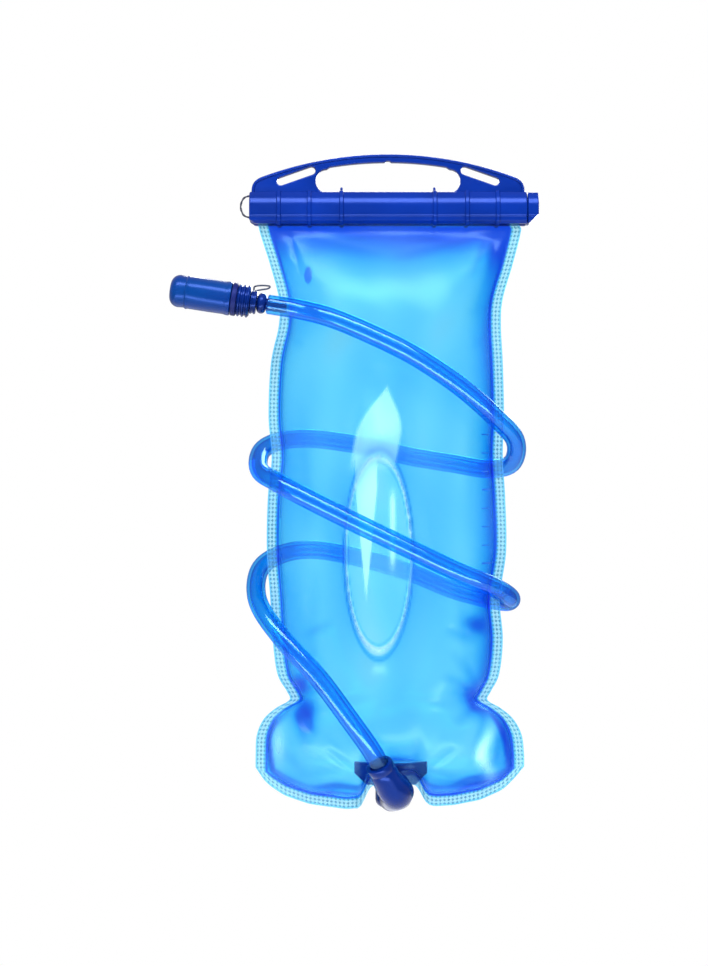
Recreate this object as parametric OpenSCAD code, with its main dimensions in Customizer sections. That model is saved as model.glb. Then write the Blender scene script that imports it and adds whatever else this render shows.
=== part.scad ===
// Two-litre hydration bladder with a slide-on clamp, a wound drinking hose and a capped bite valve.
// It hangs from its handle: the origin is the underside of the handle's strip, at the middle.
// +X runs along the clamp to the right, the front of the bag faces -Y, and +Z is up. Millimetres.

/* [Slide clamp] */
// Width of the bag's mouth, which the rails and the clamp follow
mouth_w = 146; // [120:1:180]
// Distance from the underside of the handle's strip to the top of the channel
handle_drop = 16.5; // [14:0.5:24]
// Height of the handle's arched strip
strip_h = 4.4; // [3:0.2:7]
// Thickness of the handle plate, front to back
plate_t = 4.6; // [3:0.2:7]
// Width of the finger slot
finger_w = 79; // [60:1:90]
// Thickness of the channel's roof
channel_roof = 4.7; // [3:0.1:8]
// Thickness of the channel's front and back walls
channel_wall = 2.8; // [2:0.1:4]

/* [Mouth rails] */
// Thickness of each rail, front to back
rail_t = 4; // [3:0.1:4.4]
// Height of each rail
rail_h = 8.4; // [6:0.1:9]
// Clearance between the rails and the channel
rail_gap = 0.3; // [0.2:0.05:0.5]
// Length of the stop on the rails' right end
stop_len = 6; // [4:0.5:12]

/* [Bag] */
// Width of the bag over its welded edges, at the middle
bag_w = 132; // [110:1:165]
// Height of the bag below the clamp
bag_h = 322; // [260:1:400]
// Greatest depth of each panel, from the seam to its crown
bag_depth = 26; // [16:1:30]
// Thickness of the film
film_t = 0.8; // [0.5:0.1:1.5]
// Width of the welded edge
weld_w = 7; // [5:0.5:10]
// Half width of the oval weld in the middle
baffle_rx = 18; // [10:1:24]
// Half height of the oval weld in the middle
baffle_rz = 54; // [30:1:70]

/* [Outlet] */
// Half length of the boat-shaped port
port_half_len = 20; // [16:0.5:26]
// Half thickness of the boat-shaped port
port_half_t = 6.5; // [6:0.5:9]
// Height of the boat-shaped port
port_h = 10; // [8:0.5:16]
// Radius of the port's spigot
spigot_r = 6; // [5.6:0.1:7]
// Length of the spigot below the port
spigot_len = 6; // [6:0.5:10]
// Running clearance of the elbow on the spigot
elbow_gap = 0.05; // [0.03:0.01:0.1]
// Wall of the elbow
elbow_wall = 2.4; // [1.8:0.1:3.4]

/* [Hose] */
// Outer diameter of the hose
hose_od = 10.5; // [9:0.1:10.5]
// Bore of the hose
hose_bore = 7; // [5:0.1:7.5]

/* [Bite valve] */
// Outer radius of the ribbed collar
collar_r = 8.8; // [8.4:0.1:11]
// Length of the ribbed collar
collar_len = 7; // [6:0.5:11]
// Length of the dust cap
cap_len = 33; // [32:0.5:42]
// Wall of the dust cap
cap_wall = 1.4; // [1:0.1:1.6]
// Radius of the silicone mouthpiece
bite_r = 5.6; // [5:0.1:6.2]
// Length of the silicone mouthpiece
bite_len = 26; // [20:0.5:28]
// Diameter of the wire of the lanyard loop
wire_d = 0.9; // [0.6:0.1:1.4]

/* [Clamp tether] */
// Diameter of the tether cord
tether_d = 1.2; // [0.8:0.1:1.8]

/* [Hidden] */
$fn = 48;
// A length past everything on the clamp, and how far a cut runs past a face
far = 40;
cut = 0.1;

navy = "#123a9a";
royal = "#1236c8";
film_blue = "#6fcdfb";
rail_blue = "#2f63d8";

// --- clamp ---
clamp_len = mouth_w + 6;
lip_h = 2.9;
rail_headroom = 1.3;
cavity_h = rail_h + rail_gap + rail_headroom;
channel_h = lip_h + cavity_h + channel_roof;
channel_top = -handle_drop;
channel_bottom = channel_top - channel_h;
lip_top = channel_bottom + lip_h;
slot_half = film_t + 1.4;
cavity_half = rail_t + film_t + rail_gap + 0.1;
channel_d = 2 * (cavity_half + channel_wall);
handle_half = clamp_len / 2 - 1;
// The handle's arch falls by this much at its ends
arch_fall = 14.6;
arch_r = (handle_half * handle_half + arch_fall * arch_fall) / (2 * arch_fall);
handle_round = 5;
// How far the handle's plate runs down into the channel
plate_in = 8;
finger_round = 6.4;
notch_r = 2.1;
notch_up = 0.8;
side_slot_r = 2.2;
// Depths of the side slots' inner and outer ends below the arch
side_slot_drop = [4.5, 6];
// Raised edge along the arch: its width, how far it stands out and the height that it ends at
edge_w = 1.6;
edge_proud = 0.8;
edge_low = -14;
// Section of the channel: chamfer and shoulders at the top, groove and lip at the bottom
top_chamfer = 4;
shoulder_in = 1.2;
shoulder_z = 3.4;
flank_z = 7;
skirt_h = 4.6;
groove_in = 0.9;
groove_low = 1.6;
groove_high = 3.4;
lip_in = 2.6;
hook_h = 4.4;
hook_up = 1.2;
lead_in_angle = 38;
lead_in_w = 14;
lead_in_h = 8;
lead_in_low = 1.3;
side_slot_in = finger_w / 2 + 2.6;
side_slot_out = handle_half - 16.2;
// Places of the ribs, as shares of the clamp's length
rib_places = [0.168, 0.284, 0.394];
rib_w = 2.2;
rib_proud = 0.8;

// --- bag ---
rail_bottom = lip_top + rail_gap;
rail_top = rail_bottom + rail_h;
rail_left = -mouth_w / 2 - 1;
rail_right = mouth_w / 2 + 5.4;
rail_chamfer = 1.2;
// Clearance of the rails' ends in the end stop, and its round as a share of the channel's height
stop_gap = 0.05;
stop_round = 0.56;
film_top = rail_top;
bag_top = channel_bottom - 1.2;
bag_cx = 1;
seam_gap = 0.05;
// How far the film's mouth ends inside the mouth's width
mouth_in = 1.5;
// Widest half width of the bottom lobes, as a share of bag_w
lobe_half = 0.559;
// Rows of the outline: share of the height, then left and right half widths as shares of bag_w
outline_rows = [
    [-0.042, 0.553, 0.553], [0.00, 0.545, 0.548], [0.06, 0.500, 0.512], [0.12, 0.462, 0.470],
    [0.165, 0.462, 0.462], [0.23, 0.495, 0.470], [0.32, 0.505, 0.475], [0.39, 0.492, 0.470],
    [0.46, 0.508, 0.480], [0.55, 0.512, 0.484], [0.63, 0.498, 0.458], [0.70, 0.488, 0.470],
    [0.76, 0.475, 0.462], [0.815, 0.428, 0.415], [0.85, 0.500, 0.478], [0.90, 0.560, 0.558]];
// Bottom edge from left to right: place across as -1 to 1, and share of the height
bottom_edge = [
    [-1, 0.925], [-0.95, 0.955], [-0.86, 0.978], [-0.6, 0.995], [-0.32, 1.0], [-0.21, 0.985],
    [-0.16, 0.953], [-0.14, 0.947], [0.15, 0.947], [0.19, 0.955], [0.26, 0.985], [0.45, 0.997],
    [0.72, 0.988], [0.9, 0.965], [0.97, 0.945], [1, 0.925]];
crown_run = 42;
top_run = 60;
bottom_run = 34;
baffle_x = -5.2;
baffle_z = bag_top - 0.555 * bag_h;
baffle_run = 1.5;
columns = 24;
rows_upper = 26;
rows_lower = 9;

// --- outlet ---
port_x = 1.5;
port_bottom = bag_top - 0.951 * bag_h;
port_top = port_bottom + port_h;
port_bore = 3.2;
port_clear = 0.35;
// Height above the port at which the panels close again
port_rise = 12;
boat_r = (port_half_len * port_half_len + port_half_t * port_half_t) / (2 * port_half_t);
o_ring_r = 0.7;
o_ring_z = port_bottom - 2.1;
lock_ring_t = 0.9;
lock_ring_z = port_bottom - 4.5;
sleeve_r = spigot_r + elbow_gap + elbow_wall;
sleeve_top = port_bottom - 0.4;
chamber_h = 5;
chamber_floor = port_bottom - spigot_len - chamber_h;
sleeve_bottom = chamber_floor - 1.4;
water_r = 2.4;
duct_r = 4.4;
bend_r = 8.6;
// Distance from the hose's end back to the middle of the elbow's bend
bend_back = 13.5;
socket_r = hose_od / 2 + 2.2;
hose_gap = 0.15;
socket_depth = 8;
barb_r = hose_bore / 2 + 0.1;

// --- hose ---
hose_sides = 12;
rings_per_leg = 2;
// The hose from the outlet to the valve, round the bag twice
hose_route = [
    [-2, -24, -333], [-9, -30, -319], [-20, -33, -303], [-38, -32, -279], [-58, -26, -258],
    [-71, -11, -240], [-71, 11, -224], [-59, 26, -216], [-40, 32, -214], [-13, 32, -219],
    [14, 32, -227], [36, 31, -236], [55, 25, -241], [66, 11, -242], [66, -11, -238],
    [55, -26, -231], [36, -32, -223], [9, -33, -210], [-16, -33, -198], [-40, -32, -186],
    [-59, -26, -176], [-70, -11, -169], [-70, 11, -158], [-59, 26, -152], [-40, 32, -151],
    [-12, 33, -155], [14, 33, -161], [38, 32, -165], [57, 26, -168], [69, 11, -165],
    [69, -11, -153], [57, -26, -141], [38, -33, -125], [14, -35, -109], [-10, -35, -97],
    [-31, -31, -88], [-48, -24, -83], [-65, -22, -80]];

// --- valve, along its own axis from the hose's end to the cap's tip ---
valve_tilt = 8.5;
valve_foot = hose_route[len(hose_route) - 1];
neck_start = 0.8;
neck_len = 5;
plug_start = neck_start + neck_len + 0.3;
plug_len = 3.2;
plug_r = 6.4;
barb_len = 11;
stem_groove_w = 1.4;
stem_ring_r = 0.38;
stem_r = 3.1;
stem_bore = 2;
collar_start = plug_start + plug_len + 0.2;
collar_end = collar_start + collar_len;
stem_ring_z = collar_start + 3.2;
stem_gap = 0.05;
collar_bore = stem_r + stem_gap;
collar_rib_h = 0.8;
hub_r = 6.4;
hub_len = 4;
seal_start = collar_end + 0.1;
seal_len = 3;
cap_start = seal_start + seal_len + 0.2;
cap_r = collar_r + 0.3;
bite_start = collar_end + hub_len + 0.1;
nose_end = bite_start + 5;

// --- shared functions ---
// A point on a smooth curve through the points of a list, at s from 0 to its last index
function through(points, s) =
    let (last = len(points) - 1,
         k = min(floor(s), last - 1),
         t = s - k,
         a = k == 0 ? 2 * points[0] - points[1] : points[k - 1],
         b = points[k],
         c = points[k + 1],
         d = k + 2 > last ? 2 * points[last] - points[last - 1] : points[k + 2])
    0.5 * (2 * b + (c - a) * t + (2 * a - 5 * b + 4 * c - d) * t * t
        + (3 * b - a - 3 * c + d) * t * t * t);

function unit(v) = v / norm(v);

// Quarter-round rise from 0 at 0 to 1 at 1
function crown(t) = let (k = max(0, min(1, t))) sqrt(1 - (1 - k) * (1 - k));

// Sine rise from 0 at 0 to 1 at 1
function swell(t) = sin(90 * max(0, min(1, t)));

// Faces of a grid of points, rows by columns, turned over when flip is true
function grid_faces(rows, cols, first, flip) =
    [for (r = [0 : rows - 2], c = [0 : cols - 2])
        let (p = first + r * cols + c)
        for (tri = [[p, p + 1, p + cols + 1], [p, p + cols + 1, p + cols]])
            flip ? [tri[2], tri[1], tri[0]] : tri];

// A strip of triangles that joins two lists of the same length
function strip_faces(a, b) =
    [for (k = [0 : len(a) - 2]) for (tri = [[a[k], a[k + 1], b[k + 1]], [a[k], b[k + 1], b[k]]]) tri];

// --- the tube that is swept along a route ---
module swept_tube(points, radius, sides, per_leg) {
    count = (len(points) - 1) * per_leg;
    path = [for (k = [0 : count]) through(points, k / per_leg)];
    aims = [for (k = [0 : count]) unit(path[min(count, k + 1)] - path[max(0, k - 1)])];
    side_of = function (aim) unit(cross(aim, abs(aim[2]) > 0.9 ? [0, 1, 0] : [0, 0, 1]));
    ring_points = [for (k = [0 : count]) let (u = side_of(aims[k]), w = cross(aims[k], u))
        for (n = [0 : sides - 1]) path[k] + radius * (cos(360 * n / sides) * u + sin(360 * n / sides) * w)];
    wall = [for (k = [0 : count - 1], n = [0 : sides - 1])
        let (p = k * sides + n, q = k * sides + (n + 1) % sides)
        for (tri = [[p, p + sides, q + sides], [p, q + sides, q]]) tri];
    start_cap = [[for (n = [0 : sides - 1]) n]];
    end_cap = [[for (n = [sides - 1 : -1 : 0]) count * sides + n]];
    polyhedron(ring_points, concat(wall, start_cap, end_cap), convexity = 10);
}

// --- slide clamp ---
// The arch over the whole handle, lowered by inset
module arch_area(inset) {
    translate([0, strip_h - arch_r]) circle(r = arch_r - inset, $fn = 240);
}

module handle_outline() {
    offset(r = handle_round) offset(delta = -handle_round)
        intersection() {
            arch_area(0);
            translate([-handle_half, channel_top - plate_in]) square([2 * handle_half, far]);
        }
}

module finger_slot() {
    offset(r = finger_round) offset(delta = -finger_round)
        intersection() {
            arch_area(strip_h);
            translate([-finger_w / 2, channel_top - cut]) square([finger_w, far]);
        }
    translate([0, -notch_up]) circle(r = notch_r);
}

// Height of the arch's outer edge at x
function arch_z(x) = strip_h - arch_r + sqrt(arch_r * arch_r - x * x);

module side_slot() {
    hull() {
        translate([side_slot_in, arch_z(side_slot_in) - side_slot_drop[0]]) circle(r = side_slot_r);
        translate([side_slot_out, arch_z(side_slot_out) - side_slot_drop[1]]) circle(r = side_slot_r);
    }
}

// Section of the channel, X of the drawing is depth and Y is height
module channel_section(grow) {
    h = channel_d / 2 + grow;
    half = [[h - top_chamfer, channel_top + grow], [h - shoulder_in, channel_top - shoulder_z],
        [h, channel_top - flank_z], [h, channel_bottom + skirt_h], [h - groove_in, channel_bottom + groove_high],
        [h - groove_in, channel_bottom + groove_low], [h - lip_in, channel_bottom - grow]];
    polygon(concat(half, [for (k = [len(half) - 1 : -1 : 0]) [-half[k][0], half[k][1]]]));
}

module along_x(length) {
    rotate([90, 0, 90]) linear_extrude(height = length, center = true) children();
}

module slide_clamp() {
    color(royal) difference() {
        union() {
            rotate([90, 0, 0]) linear_extrude(height = plate_t, center = true)
                difference() {
                    handle_outline();
                    finger_slot();
                    for (side = [-1, 1]) scale([side, 1]) side_slot();
                }
            // Raised edge along the arch
            rotate([90, 0, 0]) linear_extrude(height = plate_t + 2 * edge_proud, center = true)
                intersection() {
                    difference() {
                        handle_outline();
                        arch_area(edge_w);
                    }
                    translate([-handle_half, edge_low]) square([2 * handle_half, far]);
                }
            along_x(clamp_len) channel_section(0);
            for (side = [-1, 1], place = rib_places)
                translate([side * place * clamp_len, 0, 0]) along_x(rib_w) channel_section(rib_proud);
            // Small hooks that stand up in the finger slot
            for (side = [-1, 1])
                translate([side * rib_places[0] * clamp_len, plate_t / 4, channel_top + hook_up])
                    cube([rib_w * 0.8, plate_t / 2, hook_h], center = true);
        }
        // Cavity for the rails and the slot for the film
        along_x(clamp_len + 2) translate([-cavity_half, lip_top])
            square([2 * cavity_half, cavity_h]);
        along_x(clamp_len + 2) translate([-slot_half, channel_bottom - 1])
            square([2 * slot_half, lip_h + 2]);
        // Lead-in at the left end's lower corner
        translate([-clamp_len / 2 - 2, 0, channel_bottom - lead_in_low])
            rotate([0, lead_in_angle, 0]) cube([lead_in_w, channel_d + 4, lead_in_h], center = true);
        // Holes for the tether
        for (z = tether_holes)
            translate([-clamp_len / 2, 0, z]) rotate([0, 90, 0])
                cylinder(r = tether_d / 2 + tether_gap, h = 2 * tether_seat, center = true);
    }
}

// --- clamp tether ---
tether_holes = [channel_top - 1.7, channel_top - 13.6];
tether_seat = 3;
tether_gap = 0.1;
tether_out = 5;
tether_turn = 1.4;

module clamp_tether() {
    edge = -clamp_len / 2;
    high = tether_holes[0];
    low = tether_holes[1];
    inner = edge + tether_seat - 0.2;
    side = edge - tether_out + 1.6;
    route = [[inner, 0, high], [edge, 0, high], [side, 0, high - tether_turn],
        [edge - tether_out, 0, (high + low) / 2], [side, 0, low + tether_turn], [edge, 0, low], [inner, 0, low]];
    color("#1c2340") swept_tube(route, tether_d / 2, 8, 3);
}

// --- mouth rails ---
module rail(side) {
    y0 = side > 0 ? seam_gap + film_t : -seam_gap - film_t - rail_t;
    color(rail_blue) difference() {
        translate([rail_left, y0, rail_bottom]) cube([rail_right - rail_left, rail_t, rail_h]);
        // Chamfered outer edges
        for (z = [rail_bottom, rail_top])
            translate([0, side * (seam_gap + film_t + rail_t), z]) rotate([45, 0, 0])
                cube([2 * mouth_w, rail_chamfer, rail_chamfer], center = true);
    }
}

module front_mouth_rail() { rail(-1); }
module back_mouth_rail() { rail(1); }

module rail_end_stop() {
    x0 = clamp_len / 2 + rail_gap;
    half = seam_gap + film_t + rail_t + stop_gap;
    color(royal) difference() {
        intersection() {
            translate([x0 + stop_len / 2, 0, 0]) along_x(stop_len) channel_section(-rail_gap);
            translate([x0, 0, (channel_top + channel_bottom) / 2]) rotate([90, 0, 0])
                cylinder(r = channel_h * stop_round, h = 2 * channel_d, center = true);
        }
        translate([x0 - 1, -half, rail_bottom - stop_gap])
            cube([rail_right + stop_gap - x0 + 1, 2 * half, rail_h + 2 * stop_gap]);
    }
}

// --- bag panels ---
// Left and right edge and height of the outline at row s, from 0 to the last row
function outline_at(s) = let (row = through(outline_rows, s))
    [bag_top - row[0] * bag_h, bag_cx - row[1] * bag_w, bag_cx + row[2] * bag_w];

// Width of the bag's mouth follows the rails and not the bag
function mouth_edge(side) = side * (mouth_w / 2 - mouth_in);

// Height of the bottom edge at x, read off its curve between two of its points
function bottom_share(u) = lookup(u, bottom_edge);
function bottom_z(x) = let (u = (x - bag_cx) / (lobe_half * bag_w))
    bag_top - bag_h * (bottom_share(u - 0.03) + 2 * bottom_share(u) + bottom_share(u + 0.03)) / 4;

// Half thickness of the boat-shaped port at x, or 0 beside it
function boat_half(x) = let (d = x - port_x)
    abs(d) > port_half_len ? 0 : max(0, sqrt(boat_r * boat_r - d * d) - boat_r + port_half_t);

// Inner depth of a panel at x, z between its edges, by the distances to its seams and the oval weld
function panel_depth(x, z, left, right) =
    let (side = crown((min(x - left, right - x) - weld_w) / crown_run),
         top = swell((bag_top - z) / top_run),
         bottom = crown((z - bottom_z(x) - weld_w) / bottom_run),
         oval = norm([(x - baffle_x) / baffle_rx, (z - baffle_z) / baffle_rz]),
         baffle = crown((oval - 1) / baffle_run),
         boat = z > port_top + port_rise ? 0 : boat_half(x) + (boat_half(x) > 0 ? port_clear : 0))
    max(seam_gap + bag_depth * side * top * bottom * baffle, boat);

// Places across a row, with one column on each weld line
function across(left, right, c) =
    c == 0 ? left : c == columns ? right
        : left + weld_w + (right - left - 2 * weld_w) * (c - 1) / (columns - 2);

upper_rows = [for (r = [0 : rows_upper]) outline_at(1 + (len(outline_rows) - 2) * r / rows_upper)];
last_row = upper_rows[rows_upper];
mouth_rows = [for (z = [film_top, channel_bottom + 1]) [z, mouth_edge(-1), mouth_edge(1)]];

// Points of the inner skin, with y as its distance from the seam
function skin_points() = concat(
    [for (row = concat(mouth_rows, upper_rows), c = [0 : columns])
        let (x = across(row[1], row[2], c))
        [x, panel_depth(x, row[0], row[1], row[2]), row[0]]],
    [for (r = [1 : rows_lower], c = [0 : columns])
        let (x = across(last_row[1], last_row[2], c),
             low = bottom_z(x),
             weld = min(weld_w, (last_row[0] - low) / 2),
             z = r == rows_lower ? low : last_row[0] + (low + weld - last_row[0]) * r / (rows_lower - 1))
        [x, panel_depth(x, z, last_row[1], last_row[2]), z]]);

module panel(side) {
    inner = skin_points();
    cols = columns + 1;
    rows = len(inner) / cols;
    size = len(inner);
    points = concat([for (p = inner) [p[0], side * (p[1] + film_t), p[2]]],
        [for (p = inner) [p[0], side * p[1], p[2]]]);
    top_edge = [for (c = [0 : cols - 1]) c];
    low_edge = [for (c = [0 : cols - 1]) (rows - 1) * cols + c];
    left_edge = [for (r = [0 : rows - 1]) r * cols];
    right_edge = [for (r = [0 : rows - 1]) r * cols + cols - 1];
    behind = function (edge) [for (p = edge) p + size];
    faces = concat(grid_faces(rows, cols, 0, false), grid_faces(rows, cols, size, true),
        strip_faces(behind(top_edge), top_edge), strip_faces(low_edge, behind(low_edge)),
        strip_faces(left_edge, behind(left_edge)), strip_faces(behind(right_edge), right_edge));
    turned = side > 0 ? [for (f = faces) [f[2], f[1], f[0]]] : faces;
    color(film_blue, 0.6) polyhedron(points, turned, convexity = 8);
}

module front_panel() { panel(-1); }
module back_panel() { panel(1); }

// --- outlet ---
module outlet_port() {
    color(navy) difference() {
        union() {
            // Boat: where two discs overlap
            intersection_for (side = [-1, 1])
                translate([port_x, side * (boat_r - port_half_t), port_bottom])
                    cylinder(r = boat_r, h = port_h, $fn = 160);
            translate([port_x, 0, port_bottom - spigot_len]) cylinder(r = spigot_r, h = spigot_len + 1);
        }
        translate([port_x, 0, port_bottom - spigot_len - 1]) cylinder(r = port_bore, h = spigot_len + port_h + 2);
        // Groove for the O-ring
        ring_groove(o_ring_z, spigot_r - 2 * o_ring_r, spigot_r + 1, 2 * o_ring_r + 0.3);
        // Groove for the lock ring
        ring_groove(lock_ring_z, spigot_r - 0.8, spigot_r + 1, lock_ring_t + 0.2);
    }
}

module ring_groove(z, r_in, r_out, width) {
    translate([port_x, 0, z - width / 2]) difference() {
        cylinder(r = r_out, h = width);
        translate([0, 0, -1]) cylinder(r = r_in, h = width + 2);
    }
}

module outlet_o_ring() {
    color("#20222a") translate([port_x, 0, o_ring_z]) rotate_extrude()
        translate([spigot_r - o_ring_r, 0]) circle(r = o_ring_r, $fn = 24);
}

module outlet_lock_ring() {
    color("silver") translate([port_x, 0, lock_ring_z - lock_ring_t / 2]) difference() {
        cylinder(r = spigot_r + 0.9, h = lock_ring_t);
        translate([0, 0, -1]) cylinder(r = spigot_r - 0.75, h = lock_ring_t + 2);
    }
}

// Turns +Z to the direction of v
module aimed(v) {
    rotate([0, acos(v[2] / norm(v)), atan2(v[1], v[0])]) children();
}

socket_aim = unit(hose_route[1] - hose_route[0]);
bend = hose_route[0] - bend_back * socket_aim;

// Barbed tube along +Z, from 0 to its tip
module barbs(r, length, count) {
    step = length / count;
    rotate_extrude() polygon(concat([[0, 0]],
        [for (k = [0 : count - 1]) for (p = [[r, k * step], [r - 0.6, (k + 1) * step]]) p], [[0, length]]));
}

module outlet_elbow() {
    chamber = [port_x, 0, chamber_floor + chamber_h / 2];
    duct = bend - chamber;
    color(navy) difference() {
        union() {
            translate([port_x, 0, sleeve_bottom]) cylinder(r = sleeve_r, h = sleeve_top - sleeve_bottom);
            translate(chamber) aimed(duct) cylinder(r = duct_r, h = norm(duct));
            translate(bend) sphere(r = bend_r);
            translate(bend) aimed(socket_aim) cylinder(r = socket_r, h = bend_back + socket_depth);
        }
        // Bore for the spigot, with the chamber under it and the groove for the lock ring
        translate([port_x, 0, chamber_floor]) cylinder(r = spigot_r + elbow_gap, h = 40);
        ring_groove(lock_ring_z, spigot_r, spigot_r + 1, lock_ring_t + 0.2);
        // Water way
        translate(chamber) aimed(duct) cylinder(r = water_r, h = norm(duct));
        translate(bend) sphere(r = water_r + 0.3);
        translate(bend) aimed(socket_aim) cylinder(r = water_r, h = bend_back + socket_depth + 1);
        // Pocket round the barb for the hose's end
        translate(bend) aimed(socket_aim) translate([0, 0, bend_back - 0.3]) difference() {
            cylinder(r = hose_od / 2 + hose_gap, h = socket_depth + 2);
            translate([0, 0, -1]) cylinder(r = barb_r, h = socket_depth + 4);
        }
    }
}

// --- hose ---
module hose() {
    color("#1583f0") swept_tube(hose_route, hose_od / 2, hose_sides, rings_per_leg);
}

// --- bite valve ---
module on_valve() {
    translate(valve_foot) rotate([0, valve_tilt - 90, 0]) children();
}

module valve_stem() {
    color(navy) on_valve() difference() {
        union() {
            translate([0, 0, neck_start]) rotate([180, 0, 0]) barbs(barb_r, barb_len, 3);
            cylinder(r = stem_r, h = nose_end);
            translate([0, 0, plug_start]) cylinder(r = plug_r, h = plug_len);
        }
        translate([0, 0, -barb_len - 1]) cylinder(r = stem_bore, h = nose_end + barb_len + 3);
        // Groove for the O-ring
        translate([0, 0, stem_ring_z - stem_groove_w / 2]) difference() {
            cylinder(r = stem_r + 1, h = stem_groove_w);
            translate([0, 0, -1]) cylinder(r = stem_r - 0.75, h = stem_groove_w + 2);
        }
    }
}

module stem_o_ring() {
    color("#20222a") on_valve() translate([0, 0, stem_ring_z]) rotate_extrude()
        translate([stem_r - 0.35, 0]) circle(r = stem_ring_r, $fn = 24);
}

module neck_ring() {
    color(navy) on_valve() translate([0, 0, neck_start]) rotate_extrude() difference() {
        translate([stem_r + stem_gap, neck_len / 2]) circle(r = neck_len / 2);
        translate([-far, -far]) square([far + stem_r + stem_gap, 2 * far]);
    }
}

// Wire loop on the plug that a lanyard clips to
module lanyard_loop() {
    low = plug_start + plug_len / 2;
    route = [[plug_r - 0.1, 0.9, low], [plug_r + 1.6, 1, low - 0.4], [plug_r + 2.4, 0.7, low - 4],
        [plug_r + 1.8, 0, low - 7.4], [plug_r + 0.3, -0.6, low - 6], [plug_r + 0.2, -1, low - 3.6],
        [plug_r - 0.1, -1, low - 0.6]];
    color("#1c2340") on_valve() swept_tube(route, wire_d / 2, 8, 2);
}

module valve_collar() {
    rib = collar_len / 6;
    color(navy) on_valve() difference() {
        union() {
            translate([0, 0, collar_start]) cylinder(r = collar_r - collar_rib_h, h = collar_len);
            for (k = [0 : 2])
                translate([0, 0, collar_start + (2 * k + 0.5) * rib]) cylinder(r = collar_r, h = rib);
            translate([0, 0, collar_end - 0.5]) cylinder(r = hub_r, h = hub_len + 0.5);
        }
        translate([0, 0, collar_start - 1]) cylinder(r = collar_bore, h = collar_len + hub_len + 3);
    }
}

module seal_ring() {
    color("#0d1e6f") on_valve() translate([0, 0, seal_start]) rotate_extrude()
        translate([hub_r + 0.1, 0]) square([collar_r - hub_r, seal_len]);
}

module bite_mouthpiece() {
    wall = 1.5;
    flange_h = 2.4;
    flange_out = 0.8;
    slit_w = 0.4;
    tube = bite_len - bite_r;
    color("#8fd0ee") on_valve() translate([0, 0, bite_start]) difference() {
        union() {
            cylinder(r = bite_r, h = tube);
            translate([0, 0, tube]) sphere(r = bite_r);
            cylinder(r = bite_r + flange_out, h = flange_h);
        }
        translate([0, 0, nose_end - bite_start]) cylinder(r = bite_r - wall, h = tube - (nose_end - bite_start));
        translate([0, 0, tube]) sphere(r = bite_r - wall);
        translate([0, 0, -1]) cylinder(r = stem_r + stem_gap, h = bite_len - bite_r);
        // Slit that opens when it is bitten
        translate([0, 0, bite_len]) cube([slit_w, bite_r, 2 * wall + 3], center = true);
    }
}

module dust_cap() {
    dome = 8.4;
    round_r = 5;
    step = 0.4;
    shoulder = cap_len - dome;
    inner = cap_r - cap_wall;
    flat_r = cap_r - step - round_r;
    color(navy, 0.9) on_valve() translate([0, 0, cap_start]) rotate_extrude() difference() {
        union() {
            square([cap_r, shoulder]);
            translate([0, shoulder]) square([flat_r + 2, dome]);
            translate([0, shoulder]) square([cap_r - step, dome - round_r]);
            translate([flat_r, shoulder + dome - round_r]) circle(r = round_r);
        }
        translate([-far, -1]) square([far, 2 * cap_len]);
        translate([-1, -1]) square([inner + 1, shoulder + 1]);
        translate([-1, shoulder - cut]) square([inner - 3.2, dome - cap_wall + cut]);
        translate([inner - 4.4, shoulder]) circle(r = 4.2);
    }
}

slide_clamp();
clamp_tether();
front_mouth_rail();
back_mouth_rail();
rail_end_stop();
front_panel();
back_panel();
outlet_port();
outlet_o_ring();
outlet_lock_ring();
outlet_elbow();
hose();
valve_stem();
stem_o_ring();
neck_ring();
lanyard_loop();
valve_collar();
seal_ring();
bite_mouthpiece();
dust_cap();
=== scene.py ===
"""Looks of a hanging hydration bladder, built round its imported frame.

Every length in the functions is in millimetres, in the frame's own axes, and the meshes are in metres.
"""
from functools import partial

import bmesh
import bpy
import numpy as np
from bpy.props import FloatProperty, FloatVectorProperty, IntProperty, PointerProperty
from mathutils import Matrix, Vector


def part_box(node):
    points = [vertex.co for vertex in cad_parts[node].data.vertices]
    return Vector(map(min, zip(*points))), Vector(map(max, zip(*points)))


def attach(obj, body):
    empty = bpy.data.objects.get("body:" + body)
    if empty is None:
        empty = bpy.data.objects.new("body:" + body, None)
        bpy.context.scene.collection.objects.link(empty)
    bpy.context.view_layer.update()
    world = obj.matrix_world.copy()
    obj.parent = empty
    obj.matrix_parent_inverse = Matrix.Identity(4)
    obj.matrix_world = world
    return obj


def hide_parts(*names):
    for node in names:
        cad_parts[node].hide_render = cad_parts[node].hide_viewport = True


bl_info = {
    "name": "Hydration bladder",
    "version": (1, 0, 0),
    "blender": (4, 5, 0),
    "location": "3D View > Sidebar > Bladder",
    "description": "Welded film bag, drinking hose, bite valve and slide clamp round a packed frame",
    "category": "Add Mesh",
}

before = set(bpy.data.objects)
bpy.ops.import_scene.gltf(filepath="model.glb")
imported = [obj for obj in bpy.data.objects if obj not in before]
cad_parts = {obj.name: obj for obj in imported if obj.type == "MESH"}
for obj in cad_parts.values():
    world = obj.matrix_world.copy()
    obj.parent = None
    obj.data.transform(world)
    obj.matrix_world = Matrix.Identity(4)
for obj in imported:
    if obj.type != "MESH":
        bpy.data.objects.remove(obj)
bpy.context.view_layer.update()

MM = 0.001


# --- colour and sizes ---
def linear(hex_code):
    """Linear red, green, blue and alpha of an sRGB hex value, by the sRGB curve."""
    shares = np.array([int(hex_code[k:k + 2], 16) / 255 for k in (1, 3, 5)])
    low = shares / 12.92
    high = ((shares + 0.055) / 1.055) ** 2.4
    return (*np.where(shares <= 0.04045, low, high).tolist(), 1.0)


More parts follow.
